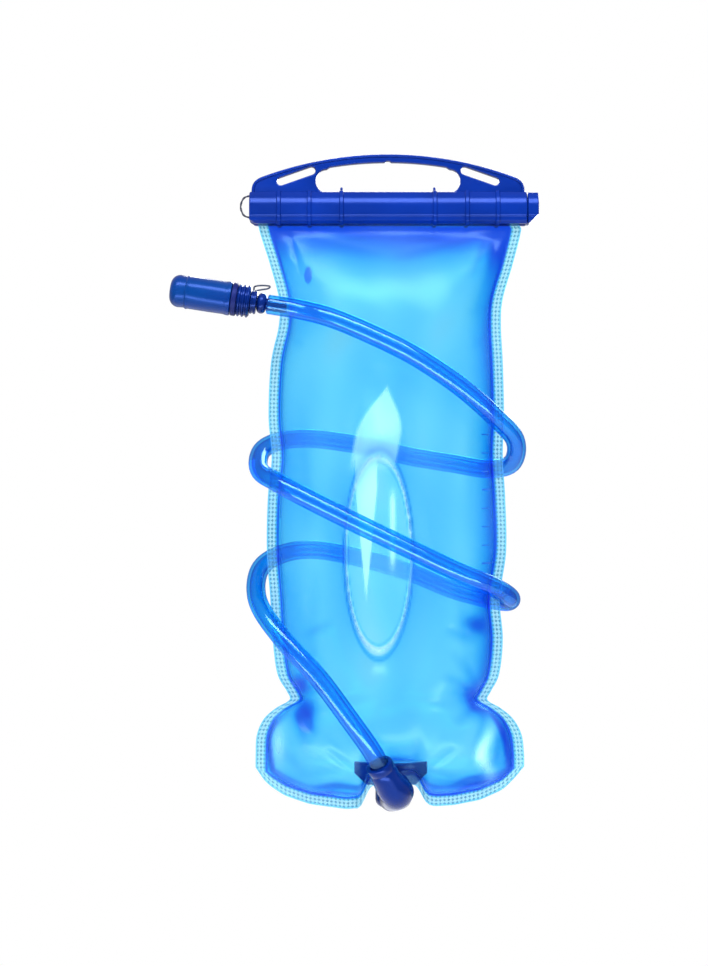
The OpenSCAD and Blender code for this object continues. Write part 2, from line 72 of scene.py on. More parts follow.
# The colours that have no setting of their own
TONES = {name: linear(code) for name, code in (
    ("plastic_gloss", "#6f93ff"), ("film_gloss", "#bdeaff"), ("tube_gloss", "#a6d8ff"),
    ("soft_gloss", "#8ea2ff"), ("rubber_bloom", "#0a1450"), ("silicone_bloom", "#6fb6e0"),
    ("wire", "#1b2030"), ("wire_line", "#39415a"), ("braid", "#1a2140"), ("braid_gap", "#080b18"),
    ("rail", "#2f63d8"), ("rail_flow", "#2450b8"), ("rail_through", "#7fb6f6"),
    ("port", "#042068"), ("port_flow", "#031650"), ("port_through", "#5f9be6"))}


def corners(node):
    """Lowest and highest corner of a CAD node, in millimetres."""
    low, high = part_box(node)
    return np.array(low) / MM, np.array(high) / MM


CLAMP_LOW, CLAMP_HIGH = corners("slide_clamp")
PANEL_TOP = corners("front_panel")[1][2]
STOP_LOW, STOP_HIGH = corners("rail_end_stop")
PORT_LOW, PORT_HIGH = corners("outlet_port")
ELBOW_FOOT = corners("outlet_elbow")[0][2]
CLAMP_HALF = (CLAMP_HIGH[0] - CLAMP_LOW[0]) / 2
PORT_MIDDLE = (PORT_LOW[0] + PORT_HIGH[0]) / 2
RIGHT, BACK, UP = np.eye(3)


def length(name, description, default):
    """A length property in metres, from a default in millimetres."""
    return FloatProperty(name=name, description=description, default=default * MM, min=0, unit="LENGTH")


def colour(name, description, default):
    """A colour property, from an sRGB hex default."""
    return FloatVectorProperty(name=name, description=description, default=linear(default)[:3],
                               size=3, min=0, max=1, subtype="COLOR")


class BladderSizes(bpy.types.PropertyGroup):
    """Sizes of the pieces made here, as the frame has them"""

    bag_width: length("Bag width", "Width over the welded edges at the middle", 132)
    bag_height: length("Bag height", "Height of the bag below the clamp", 322)
    bag_depth: length("Panel depth", "Greatest depth of each panel from the seam", 26)
    film: length("Film", "Thickness of the film", 0.8)
    weld: length("Weld", "Width of the welded edge", 7)
    stipple: length("Stipple", "Distance between the weld's diamonds", 2.3)
    fold: length("Fold", "How far the smoothed film lies inside the frame's panel", 0.9)
    hose: length("Hose", "Outer diameter of the hose", 10.5)
    bore: length("Bore", "Bore of the hose", 7)
    rib: length("Rib", "Width of the clamp's ribs", 2.2)
    rib_proud: length("Rib height", "How far the clamp's ribs stand out", 0.8)
    wire: length("Wire", "Diameter of the lanyard loop's wire", 0.9)
    tether: length("Tether", "Diameter of the clamp's tether", 1.2)
    film_columns: IntProperty(name="Film columns", description="Cells across a panel", default=150, min=40)
    film_rows: IntProperty(name="Film rows", description="Cells down a panel", default=290, min=80)


class BladderColours(bpy.types.PropertyGroup):
    """Colours of the pieces"""

    film_pale: colour("Weld film", "Light let through where the film is welded flat", "#ecf5f6")
    film_main: colour("Film", "Light let through each skin of the film", "#c9f2fe")
    # The fold and deep film colours also show painted shade, where the film's tones call for it
    film_fold: colour("Folded film", "Light let through where the film gathers", "#9ce2fc")
    film_deep: colour("Deep film", "Light let through a deep fold", "#2eb8f6")
    # Also the colour of the painted highlights on the front panel
    film_haze: colour("Film haze", "Milky part of the film", "#b9ecff")
    weld_dot: colour("Weld dots", "Light let through the weld's diamonds", "#aed4de")
    hose_main: colour("Hose", "Light let through each skin of the hose", "#8ae4fb")
    hose_edge: colour("Hose edge", "Light let through the hose's wall seen along its length", "#0470de")
    clamp: colour("Clamp", "Moulded clamp", "#012072")
    clamp_shade: colour("Clamp shade", "Deeper flow lines of the clamp", "#011b64")
    navy: colour("Navy", "Moulded outlet and valve", "#021c60")
    navy_shade: colour("Navy shade", "Deeper flow lines of the navy mouldings", "#011042")
    cap: colour("Cap", "Moulded dust cap", "#012c68")
    silicone: colour("Silicone", "Bite mouthpiece", "#9fd6f2")
    rubber: colour("Rubber", "Seal rings", "#060d3c")
    print_ink: colour("Scale", "Printed scale", "#1b6fd6")
    floor: colour("Floor", "Studio floor", "#f6f7f8")


def mm(value):
    """A property in metres as millimetres."""
    return value / MM


# --- shape functions ---
def through(points, s):
    """Catmull-Rom curve through points at s, which counts them: each span is a cubic whose slope at a
    point is half the step between its neighbours."""
    p = np.asarray(points, float)
    s = np.asarray(s, float)
    k = np.clip(np.floor(s).astype(int), 0, len(p) - 2)
    t = (s - k)[..., None]
    q = np.vstack([2 * p[0] - p[1], p, 2 * p[-1] - p[-2]])
    a, b, c, d = q[k], q[k + 1], q[k + 2], q[k + 3]
    return 0.5 * (2 * b + (c - a) * t + (2 * a - 5 * b + 4 * c - d) * t ** 2
                  + (3 * b - a - 3 * c + d) * t ** 3)


def crown(t):
    """Quarter-round rise from 0 at 0 to 1 at 1."""
    return np.sqrt(1 - (1 - np.clip(t, 0, 1)) ** 2)


def swell(t):
    """Sine rise from 0 at 0 to 1 at 1."""
    return np.sin(np.pi / 2 * np.clip(t, 0, 1))


def ramp(t):
    """Smooth step from 0 at 0 to 1 at 1: 3t2 - 2t3."""
    t = np.clip(t, 0, 1)
    return t * t * (3 - 2 * t)


def bell(distance, width):
    """Gaussian bump, 1 in the middle and 1/e at width."""
    return np.exp(-(distance / width) ** 2)


def circle(sides):
    """Angles of points evenly round a circle."""
    return np.linspace(0, 2 * np.pi, sides, endpoint=False)


def squared(v, power):
    """v with its size raised to power and its sign kept, which makes a circle a superellipse."""
    return np.sign(v) * np.abs(v) ** power


def unit(v):
    """v with length 1, row by row."""
    return v / np.maximum(np.linalg.norm(v, axis=-1, keepdims=True), 1e-12)


def fillet(points, radii, steps=6):
    """Closed outline with each corner rounded: the arc of its radius that both sides touch, between
    the two tangent points at radius / tan(half angle) from the corner."""
    p = np.asarray(points, float)
    back = unit(np.roll(p, 1, 0) - p)
    ahead = unit(np.roll(p, -1, 0) - p)
    half = np.arccos(np.clip((back * ahead).sum(1), -1, 1)) / 2
    radii = np.maximum(np.broadcast_to(radii, len(p)), 1e-3)
    run = radii / np.tan(half)
    middle = p + unit(back + ahead) * (radii / np.sin(half))[:, None]
    first = p + back * run[:, None] - middle
    last = p + ahead * run[:, None] - middle
    t = np.linspace(0, 1, steps)[None, :, None]
    arcs = unit(first[:, None] * (1 - t) + last[:, None] * t) * radii[:, None, None]
    return (middle[:, None] + arcs).reshape(-1, 2)


def spread(low, high, marks, step, fine, reach):
    """Places from low to high, step apart and fine apart within reach of each mark."""
    parts = [np.linspace(low, high, int((high - low) / step) + 2)]
    for mark in marks:
        parts.append(mark + np.linspace(-reach, reach, int(2 * reach / fine) + 1))
    return np.unique(np.round(np.clip(np.concatenate(parts), low, high), 3))


# --- meshes ---
def grid_faces(rows, cols, wrap_rows=False, wrap_cols=False, first=0):
    """Quads of a grid of points, rows by columns, which may close on itself either way."""
    r = np.arange(rows if wrap_rows else rows - 1)[:, None]
    c = np.arange(cols if wrap_cols else cols - 1)[None, :]
    below, beside = (r + 1) % rows * cols, (c + 1) % cols
    quads = [r * cols + c, r * cols + beside, below + beside, below + c]
    return first + np.stack(np.broadcast_arrays(*quads), -1).reshape(-1, 4)


def tube_faces(rows, size):
    """Faces of a closed section of size points carried through rows places, with both ends capped."""
    ends = [np.arange(size)[None, ::-1], (rows - 1) * size + np.arange(size)[None]]
    return [grid_faces(rows, size, wrap_cols=True)] + ends


def shell_faces(rows, cols, first=0):
    """Faces of a thin sheet, whose points are two skins of the same grid one after the other: the
    first skin, the second turned over, and the wall that joins their rims."""
    number = np.arange(rows * cols).reshape(rows, cols)
    rim = np.concatenate([number[0], number[1:, -1], number[-1, -2::-1], number[-2:0:-1, 0]])
    after, size = np.roll(rim, -1), rows * cols
    wall = np.stack([rim, rim + size, after + size, after], -1) + first
    turned_over = grid_faces(rows, cols, first=first + size)[:, ::-1]
    return [grid_faces(rows, cols, first=first), turned_over, wall]


def solid_volume(points, face_sets):
    """Six times the volume inside the faces: each face's fan of triangles seen from the middle."""
    centred = points - points.mean(0)
    total = 0.0
    for faces in face_sets:
        for k in range(1, faces.shape[1] - 1):
            a, b, c = centred[faces[:, 0]], centred[faces[:, k]], centred[faces[:, k + 1]]
            total += np.einsum("ij,ij->", a, np.cross(b, c))
    return total


def add_piece(name, points, face_sets, material, weld=True, sharp=50):
    """A closed mesh at the origin from points in millimetres. Its faces are turned outwards, points
    that meet are merged, and edges over the sharp angle stay crisp."""
    if solid_volume(points, face_sets) < 0:
        face_sets = [faces[:, ::-1] for faces in face_sets]
    mesh = bpy.data.meshes.new(name)
    sizes = np.concatenate([np.full(len(faces), faces.shape[1]) for faces in face_sets])
    loops = np.concatenate([faces.ravel() for faces in face_sets])
    mesh.vertices.add(len(points))
    mesh.vertices.foreach_set("co", (points * MM).astype(np.float32).ravel())
    mesh.loops.add(len(loops))
    mesh.loops.foreach_set("vertex_index", loops.astype(np.int32))
    mesh.polygons.add(len(sizes))
    mesh.polygons.foreach_set("loop_start", (np.cumsum(sizes) - sizes).astype(np.int32))
    mesh.update(calc_edges=True)
    if weld:
        shape = bmesh.new()
        shape.from_mesh(mesh)
        bmesh.ops.remove_doubles(shape, verts=shape.verts, dist=2e-6)
        bmesh.ops.dissolve_degenerate(shape, edges=shape.edges, dist=1e-6)
        shape.to_mesh(mesh)
        shape.free()
    mesh.polygons.foreach_set("use_smooth", np.ones(len(mesh.polygons), bool))
    mesh.set_sharp_from_angle(angle=np.radians(sharp))
    mesh.materials.append(material)
    piece = bpy.data.objects.new(name, mesh)
    bpy.context.scene.collection.objects.link(piece)
    return piece


def seat(piece, body, slot, *nodes):
    """Rides a piece on its body and hides the CAD nodes it stands for. Its slot is not used."""
    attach(piece, body)
    if nodes:
        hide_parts(*nodes)
    return piece


def rings(places, aims, radii, sides, reference):
    """Circles of points across a line: place + radius (cos side + sin up), where side and up stand
    across the line's direction and side stands across the reference as well."""
    across = unit(np.cross(aims, reference))
    up = np.cross(across, aims)
    angle = circle(sides)[None, :, None]
    round_it = np.cos(angle) * across[:, None] + np.sin(angle) * up[:, None]
    return places[:, None] + radii[:, None, None] * round_it


def along(route, s):
    """Points and directions at the distances s along a route, read between its points."""
    steps = np.linalg.norm(np.diff(route, axis=0), axis=1)
    run = np.concatenate([[0], np.cumsum(steps)])
    aims = unit(np.gradient(route, axis=0))
    at = np.stack([np.interp(s, run, route[:, k]) for k in range(3)], -1)
    aim = np.stack([np.interp(s, run, aims[:, k]) for k in range(3)], -1)
    beyond = (np.minimum(s, 0) + np.maximum(s - run[-1], 0))[:, None]
    return at + unit(aim) * beyond, unit(aim)


def turned(name, profile, foot, axis, material, sides=64, sharp=50):
    """A turned piece: its closed profile of distance along the axis and radius, carried round it."""
    profile = np.asarray(profile, float)
    aims = np.broadcast_to(axis, (len(profile), 3))
    points = rings(foot + profile[:, :1] * axis, aims, profile[:, 1], sides, BACK)
    faces = grid_faces(len(profile), sides, wrap_rows=True, wrap_cols=True)
    return add_piece(name, points.reshape(-1, 3), [faces], material, sharp=sharp)


def wire(name, route, diameter, material, sides=16, per_span=8, twist=0.0):
    """A round wire or cord along a smooth curve through route, with rounded ends. twist adds two
    strands: its radius swells twice round, turning by twist radians for each millimetre."""
    fine = through(route, np.linspace(0, len(route) - 1, (len(route) - 1) * per_span + 1))
    total = np.linalg.norm(np.diff(fine, axis=0), axis=1).sum()
    radius = diameter / 2
    inner = np.linspace(0, total, max(8, int(total / radius)))
    cap = radius * np.sin(np.linspace(-np.pi / 2, 0, 5))[:-1]
    s = np.concatenate([cap, inner, total - cap[::-1]])
    inside = np.clip(np.maximum(-s, s - total), 0, radius)
    places, aims = along(fine, s)
    radii = np.sqrt(np.maximum(radius ** 2 - inside ** 2, 0))
    points = rings(places, aims, radii, sides, (0.1, 1, 0.05))
    if twist:
        lobes = 0.84 + 0.16 * np.cos(2 * circle(sides)[None, :] + twist * s[:, None])
        points = places[:, None] + (points - places[:, None]) * lobes[..., None]
    return add_piece(name, points.reshape(-1, 3), [grid_faces(len(s), sides, wrap_cols=True)], material)


# --- materials ---
def add_node(tree, kind, inputs=(), **settings):
    """Adds a node, its kind named as Blender does after ShaderNode, and sets its attributes. Each input,
    in order or by name, gets a value, or a link from a socket or from the output of a node."""
    node = tree.nodes.new("ShaderNode" + kind)
    for name, value in settings.items():
        setattr(node, name, value)
    for place, value in inputs.items() if isinstance(inputs, dict) else enumerate(inputs):
        if isinstance(value, bpy.types.Node):
            value = next(socket for socket in value.outputs if socket.enabled)
        if isinstance(value, bpy.types.NodeSocket):
            tree.links.new(value, node.inputs[place])
        else:
            node.inputs[place].default_value = value
    return node


def start_material(name):
    """An empty node material, add_node for its tree, and its object coordinates."""
    material = bpy.data.materials.new(name)
    material.use_nodes = True
    material.node_tree.nodes.clear()
    add = partial(add_node, material.node_tree)
    return material, add, add("TexCoord").outputs["Object"]


def noise(add, coordinates, size, detail=2.0, stretch=(1, 1, 1)):
    """Noise whose blobs are about size millimetres across, drawn out by stretch."""
    placed = add("Mapping", {"Vector": coordinates, "Scale": stretch})
    return add("TexNoise", {"Vector": placed, "Scale": 1 / (size * MM), "Detail": detail})


def skinned(add, body, gloss, normal, edge, face_on):
    """A body under a clear skin, which reflects the same share of light from both sides: Schlick's
    share face on, and edge more by the fifth power of one less the cosine of the angle."""
    facing = add("LayerWeight", {"Blend": 0.5, "Normal": normal}).outputs["Facing"]
    fifth = add("Math", (facing, 5.0), operation="POWER")
    rise = add("Math", (fifth, edge), operation="MULTIPLY")
    return add("MixShader", (add("Math", (rise, face_on), operation="ADD"), body, gloss))


def rgba(values):
    """A colour property as red, green, blue and alpha."""
    return (*values, 1.0)


def moulded_plastic(name, body, shade, roughness, clear=0.0, clear_tint=(1, 1, 1, 1)):
    """Injection-moulded translucent polypropylene or ABS: a smooth skin with a faint orange peel,
    colour that drifts along the flow of the melt, and tiny pits of the mould's spark finish."""
    material, add, coordinates = start_material(name)
    flow = noise(add, coordinates, 18, 1, (0.5, 1, 1))
    peel = noise(add, coordinates, 2.2)
    # Spark finish is finer than this on the mould, and is drawn at 0.5 mm to show
    pits = noise(add, coordinates, 0.5)
    peeled = add("Math", (peel, 0.7), operation="MULTIPLY")
    pitted = add("Math", (pits, 0.3), operation="MULTIPLY")
    height = add("Math", (peeled, pitted), operation="ADD")
    drift = add("MapRange", (flow, 0.35, 0.65, 0, 1))
    skin = add("BsdfPrincipled", {
        "Base Color": add("Mix", {0: drift, 6: body, 7: shade}, data_type="RGBA"),
        "Roughness": add("MapRange", (peel, 0.3, 0.7, roughness - 0.03, roughness + 0.03)),
        "Normal": add("Bump", {"Height": height, "Strength": 0.05, "Distance": 0.2 * MM}),
        "IOR": 1.5, "Specular Tint": TONES["plastic_gloss"]})
    if clear:
        skin = add("MixShader", (clear, skin, add("BsdfTransparent", (clear_tint,))))
    add("OutputMaterial", (skin,))
    return material


def film_material(name, colours, sizes):
    """Extruded polyurethane film, tinted and high-frequency welded: clear and glossy and slightly milky,
    deeper where it gathers, and pressed into diamonds along the weld. Its point tones also carry painted
    shade and painted highlights."""
    material, add, coordinates = start_material(name)
    tint, haze, weld = (add("Attribute", attribute_name=label).outputs["Fac"]
                        for label in ("tint", "haze", "weld"))
    place = add("SeparateXYZ", (add("UVMap", uv_map="weld_mm"),))
    # The deeper stops also show the painted shade that the film's tones put under the clamp, in fold valleys,
    # at the pinches and by the right edge
    steps = add("ValToRGB", (tint,))
    stops = steps.color_ramp.elements
    shades = (colours.film_pale, colours.film_main, colours.film_fold, colours.film_deep)
    for stop, shade in zip([stops[0], stops.new(0.3), stops.new(0.65), stops[-1]], shades):
        stop.color = rgba(shade)
    # The diamonds are where two triangle waves, along the weld and across it, meet near their tops
    pitch = mm(sizes.stipple)
    waves = []
    for k, size in ((0, pitch), (1, 0.85 * pitch)):
        wave = add("Math", (place.outputs[k], size / 2), operation="PINGPONG")
        waves.append(add("Math", (wave, 2 / size), operation="MULTIPLY"))
    tops = add("MapRange", (add("Math", waves, operation="ADD"), 1.05, 1.4, 0, 1))
    dots = add("Math", (tops, weld), operation="MULTIPLY")
    dotted = add("Math", (dots, 0.75), operation="MULTIPLY")
    let_through = add("Mix", {0: dotted, 6: steps, 7: rgba(colours.weld_dot)}, data_type="RGBA")
    # Film seen along its surface is seen through more of itself
    facing = add("LayerWeight", {"Blend": 0.35}).outputs["Facing"]
    cubed = add("Math", (facing, 3.0), operation="POWER")
    edge = add("Math", (cubed, 0.8), operation="MULTIPLY")
    let_through = add("Mix", {0: edge, 6: let_through, 7: rgba(colours.film_deep)}, data_type="RGBA")
    dimple = add("Math", (dots, 0.5), operation="MULTIPLY")
    height = add("Math", (noise(add, coordinates, 9, 3), dimple), operation="ADD")
    bump = add("Bump", {"Height": height, "Strength": 0.25, "Distance": 0.4 * MM})
    # The milky share also carries the painted highlights of the front panel, which mix in the pale milky
    # colour
    milkiness = add("MapRange", (haze, 0.08, 0.4, 0, 1))
    milk_tone = add("Mix", {0: milkiness, 6: rgba(colours.film_fold), 7: rgba(colours.film_haze)},
                    data_type="RGBA")
    milk = add("BsdfPrincipled", {"Base Color": milk_tone, "Roughness": 0.3, "IOR": 1.4, "Normal": bump})
    # Where the painted highlights and the milky share are strong, the milky skin takes over from the clear
    # one
    cloud = add("MapRange", (haze, 0, 1, 0.0, 0.8))
    body = add("MixShader", (cloud, add("BsdfTransparent", (let_through,)), milk))
    gloss = add("BsdfGlossy", {"Color": TONES["film_gloss"], "Roughness": 0.28, "Normal": bump})
    add("OutputMaterial", (skinned(add, body, gloss, bump, 0.45, 0.014),))
    return material


def hose_material(name, colours):
    """Extruded polyurethane tube, tinted: clear and very glossy, with a deep edge where the eye looks
    along its wall, and a faint unevenness of the draw."""
    material, add, coordinates = start_material(name)
    facing = add("LayerWeight", {"Blend": 0.4}).outputs["Facing"]
    wave = noise(add, coordinates, 6, 2)
    edge = add("Math", (facing, 1.6), operation="POWER")
    tinted = add("Mix", {0: edge, 6: rgba(colours.hose_main), 7: rgba(colours.hose_edge)}, data_type="RGBA")
    bump = add("Bump", {"Height": wave, "Strength": 0.05, "Distance": 0.3 * MM})
    wall = add("BsdfPrincipled", {
        "Base Color": rgba(colours.hose_edge), "Roughness": 0.2, "IOR": 1.5, "Normal": bump})
    cloud = add("MapRange", (wave, 0.3, 0.7, 0.02, 0.07))
    body = add("MixShader", (cloud, add("BsdfTransparent", (tinted,)), wall))
    gloss = add("BsdfGlossy", {"Color": TONES["tube_gloss"], "Roughness": 0.06, "Normal": bump})
    add("OutputMaterial", (skinned(add, body, gloss, bump, 0.6, 0.05),))
    return material


def soft_material(name, body, shade, roughness, grain, sheen=0.0):
    """Moulded silicone or rubber: matt, with a dusty bloom and a fine grain."""
    material, add, coordinates = start_material(name)
    bloom = noise(add, coordinates, 5, 3)
    skin = noise(add, coordinates, grain)
    surface = add("BsdfPrincipled", {
        "Base Color": add("Mix", {0: bloom, 6: body, 7: shade}, data_type="RGBA"),
        "Roughness": add("MapRange", (skin, 0.3, 0.7, roughness - 0.08, roughness + 0.08)),
        "Normal": add("Bump", {"Height": skin, "Strength": 0.2, "Distance": 0.15 * MM}),
        "IOR": 1.42, "Sheen Weight": sheen, "Specular Tint": TONES["soft_gloss"]})
    add("OutputMaterial", (surface,))
    return material


def drawn_wire(name, body, shade):
    """Drawn and coated spring steel: dark, smooth, with fine draw lines that catch the light."""
    material, add, coordinates = start_material(name)
    lines = noise(add, coordinates, 0.6, 2, (0.2, 1, 1))
    surface = add("BsdfPrincipled", {
        "Base Color": add("Mix", {0: lines, 6: body, 7: shade}, data_type="RGBA"), "Metallic": 0.6,
        "Roughness": add("MapRange", (lines, 0.3, 0.7, 0.25, 0.42)),
        "Normal": add("Bump", {"Height": lines, "Strength": 0.15, "Distance": 0.05 * MM})})
    add("OutputMaterial", (surface,))
    return material


def braided_cord(name, body, shade):
    """Braided polyester cord: dull, with a small diagonal weave about 0.8 mm long."""
    material, add, coordinates = start_material(name)
    weave = add("TexWave", {"Vector": coordinates, "Scale": 1 / (0.8 * MM), "Distortion": 0.6},
                bands_direction="DIAGONAL").outputs["Fac"]
    surface = add("BsdfPrincipled", {
        "Base Color": add("Mix", {0: weave, 6: shade, 7: body}, data_type="RGBA"),
        "Roughness": add("MapRange", (weave, 0, 1, 0.75, 0.55)), "Sheen Weight": 0.3,
        "Normal": add("Bump", {"Height": weave, "Strength": 0.5, "Distance": 0.1 * MM})})
    add("OutputMaterial", (surface,))
    return material


def printed_ink(name, ink):
    """Screen-printed ink on film: slightly uneven cover with a satin face."""
    material, add, coordinates = start_material(name)
    cover = noise(add, coordinates, 0.8, 3)
    satin = add("BsdfPrincipled", {
        "Base Color": ink, "Roughness": add("MapRange", (cover, 0.3, 0.7, 0.35, 0.5))})
    share = add("MapRange", (cover, 0.35, 0.65, 0.45, 0.8))
    add("OutputMaterial", (add("MixShader", (share, add("BsdfTransparent", (ink,)), satin)),))
    return material


def floor_paint(name, paint):
    """Matt white studio paint with a faint roller texture."""
    material, add, coordinates = start_material(name)
    surface = add("BsdfPrincipled", {
        "Base Color": paint, "Emission Color": paint, "Emission Strength": 0.25,
        "Roughness": add("MapRange", (noise(add, coordinates, 8), 0.3, 0.7, 0.85, 0.95))})
    add("OutputMaterial", (surface,))
    return material


# --- the bag's film ---
BAG_TOP = CLAMP_LOW[2] - 1.2
BAG_X = 1.0
MOUTH_HALF = 71.5
# How far the pressed line inside the weld lies from the weld's inner edge
LINE_IN = 1.4
# Soft deep spots at the pinches and by the right edge, partly folded film and partly painted shade in those
# folds: x, z, width, height and depth of colour
DEEP_SPOTS = [[-45, -303, 5, 7, 1.0], [-49, -287, 5, 5, 0.8], [49, -296, 6, 7, 0.6], [47, -254, 6, 5, 0.6]]
# The weld spot on the front panel: x, z, half width and half height
WELD_SPOT = (-43.6, -63, 2.1, 4.6)
# Share of the height, then left and right half widths as shares of the width
OUTLINE = [
    [-0.042, 0.553, 0.553], [0.00, 0.545, 0.548], [0.06, 0.500, 0.512], [0.12, 0.462, 0.470],
    [0.165, 0.462, 0.462], [0.23, 0.495, 0.470], [0.32, 0.505, 0.475], [0.39, 0.492, 0.470],
    [0.46, 0.508, 0.480], [0.55, 0.512, 0.484], [0.63, 0.498, 0.458], [0.70, 0.488, 0.470],
    [0.76, 0.468, 0.455], [0.79, 0.428, 0.420], [0.805, 0.418, 0.406], [0.819, 0.475, 0.462],
    [0.838, 0.526, 0.515], [0.865, 0.554, 0.549], [0.90, 0.559, 0.559]]
# Place across from -1 to 1, and share of the height
BOTTOM = [
    [-1, 0.915], [-0.97, 0.932], [-0.9, 0.950], [-0.78, 0.968], [-0.6, 0.982], [-0.32, 0.991], [-0.21, 0.988],
    [-0.17, 0.958], [-0.14, 0.947], [0.15, 0.947], [0.19, 0.945], [0.225, 0.958], [0.26, 0.980],
    [0.32, 0.986], [0.474, 0.984], [0.672, 0.975], [0.845, 0.957], [0.96, 0.930], [1, 0.915]]
LOBE_HALF = 0.559
CROWN_RUN, TOP_RUN, BOTTOM_RUN = 42, 60, 34
OVAL_X, OVAL_DROP, OVAL_RX, OVAL_RZ, OVAL_RUN = -5.2, 0.555, 18, 54, 1.5
PORT_RISE, PORT_CLEAR = 12, 0.35
SEAM = 0.05
# Folds on the film: from x, z to x, z, their width and their height, in millimetres
FOLDS = [
    [-61, -38, -50, -82, 2.0, -1.2], [-55, -37, -47, -64, 1.6, -0.9], [61, -38, 53, -86, 2.6, -1.3],
    [-44, -41, 2, -53, 3.0, -0.5], [0, -53, 46, -43, 3.2, -0.5], [-30, -37, 30, -39, 2.4, -0.8],
    [-61, -84, -44, -80, 1.8, -0.8], [-61, -96, -46, -100, 1.8, -0.7], [61, -82, 46, -79, 1.8, -0.7],
    [61, -95, 46, -99, 1.8, -0.8], [-5, -112, -5, -160, 5.0, -0.8], [-17, -122, -21, -172, 4.0, 0.5],
    [8, -120, 11, -172, 4.0, 0.5], [-54, -293, -30, -284, 2.6, -1.9], [-54, -296, -38, -312, 3.2, -2.4],
    [-50, -290, -36, -270, 2.6, -1.2], [54, -294, 34, -286, 2.6, -1.7], [54, -297, 44, -330, 3.0, -2.0],
    [50, -290, 40, -268, 2.6, -1.2], [-19, -331, -34, -318, 2.2, -1.0], [-19, -336, -50, -344, 2.2, -1.2],
    [20, -331, 36, -318, 2.2, -1.0], [21, -336, 56, -340, 2.2, -1.2], [61, -322, 46, -338, 2.4, -1.6],
    [62, -306, 58, -332, 2.0, -1.2], [-62, -310, -60, -334, 2.0, -1.2], [-47, -130, -44, -205, 3.4, -0.5],
    [46, -140, 44, -215, 3.4, -0.5], [-40, -216, -44, -276, 3.2, -0.5], [38, -222, 43, -280, 3.2, -0.5],
    [48, -262, 30, -254, 3.0, -1.8]]


def bag_edges(z, sizes):
    """Left and right edge of the bag at height z: its outline's curve, scaled to the bag."""
    rows = through(OUTLINE, np.linspace(1, len(OUTLINE) - 1, 1200))
    heights = BAG_TOP - rows[:, 0] * mm(sizes.bag_height)
    heights = np.concatenate([[PANEL_TOP, CLAMP_LOW[2] + 1], heights])
    left = np.concatenate([[-MOUTH_HALF] * 2, BAG_X - rows[:, 1] * mm(sizes.bag_width)])
    right = np.concatenate([[MOUTH_HALF] * 2, BAG_X + rows[:, 2] * mm(sizes.bag_width)])
    return np.interp(-z, -heights, left), np.interp(-z, -heights, right)


def bag_bottom(x, sizes):
    """Height of the bag's bottom edge at x: its curve, smoothed over three nearby places."""
    table = np.array(BOTTOM)
    u = (x - BAG_X) / (LOBE_HALF * mm(sizes.bag_width))
    share = sum(k * np.interp(u + d, table[:, 0], table[:, 1]) for d, k in ((-0.03, 1), (0, 2), (0.03, 1)))
    return BAG_TOP - mm(sizes.bag_height) * share / 4


def boat_half(x):
    """Half thickness of the boat-shaped port at x, where two large circles overlap."""
    half_len = (PORT_HIGH[0] - PORT_LOW[0]) / 2
    half_t = (PORT_HIGH[1] - PORT_LOW[1]) / 2
    radius = (half_len ** 2 + half_t ** 2) / (2 * half_t)
    d = x - PORT_MIDDLE
    return np.where(np.abs(d) > half_len, 0, np.sqrt(np.maximum(radius ** 2 - d ** 2, 0)) - radius + half_t)


def oval_at(x, z, sizes):
    """Distance from the middle of the oval weld, 1 on its outline."""
    middle = BAG_TOP - OVAL_DROP * mm(sizes.bag_height)
    return np.hypot((x - OVAL_X) / OVAL_RX, (z - middle) / OVAL_RZ)


def folds_at(x, z):
    """Sum of the folds: each a Gaussian across its line that rises and falls as a sine along it."""
    total = np.zeros_like(x)
    for x0, z0, x1, z1, width, height in FOLDS:
        dx, dz = x1 - x0, z1 - z0
        t = np.clip(((x - x0) * dx + (z - z0) * dz) / (dx * dx + dz * dz), 0, 1)
        off = np.hypot(x - x0 - t * dx, z - z0 - t * dz)
        total += height * bell(off, width) * np.sin(np.pi * t) ** 0.7
    return total


def film_shape(x, z, left, right, sizes, mirror):
    """Depth of a panel's inner skin, and its folds, its distance inside the edge and from the oval.
    The depth is a crown over the sides, the top, the bottom and the oval weld, less the folds."""
    side = np.minimum(x - left, right - x)
    low = z - bag_bottom(x, sizes)
    weld = mm(sizes.weld)
    oval = oval_at(x, z, sizes)
    depth = (mm(sizes.bag_depth) * crown((side - weld) / CROWN_RUN) * swell((BAG_TOP - z) / TOP_RUN)
             * crown((low - weld) / BOTTOM_RUN) * crown((oval - 1) / OVAL_RUN))
    edge = np.minimum(side, low)
    free = ramp((edge - weld) / 9) * ramp((oval - 1) / 0.4) * ramp((BAG_TOP - z) / 6)
    u, v = mirror * x, z
    waves = (0.22 * np.sin(u / 8.1 + 1.7 * np.sin(v / 23)) * np.sin(v / 9.7 + 1.3 * np.sin(u / 15))
             + 0.08 * np.sin(u / 3.9 + v / 4.9 + 2 * np.sin(v / 17)))
    pucker = np.sin(2 * np.pi * v / 9.5 + 1.9 * np.sin(v / 13) + u / 40)
    pucker = pucker * bell(np.maximum(edge - weld, 0), 11)
    folds = folds_at(u, v)
    rise = folds + waves + 0.32 * pucker - mm(sizes.fold)
    inside = 1.1 * crown(1.6 * (1 - oval)) * (oval < 1)
    port = np.where(z > PORT_HIGH[2] + PORT_RISE, 0, boat_half(x) + PORT_CLEAR * (boat_half(x) > 0))
    shaped = np.clip(depth + free * rise, 0, depth + 0.2) + inside
    return np.maximum(SEAM + shaped, port), folds * free, edge, oval


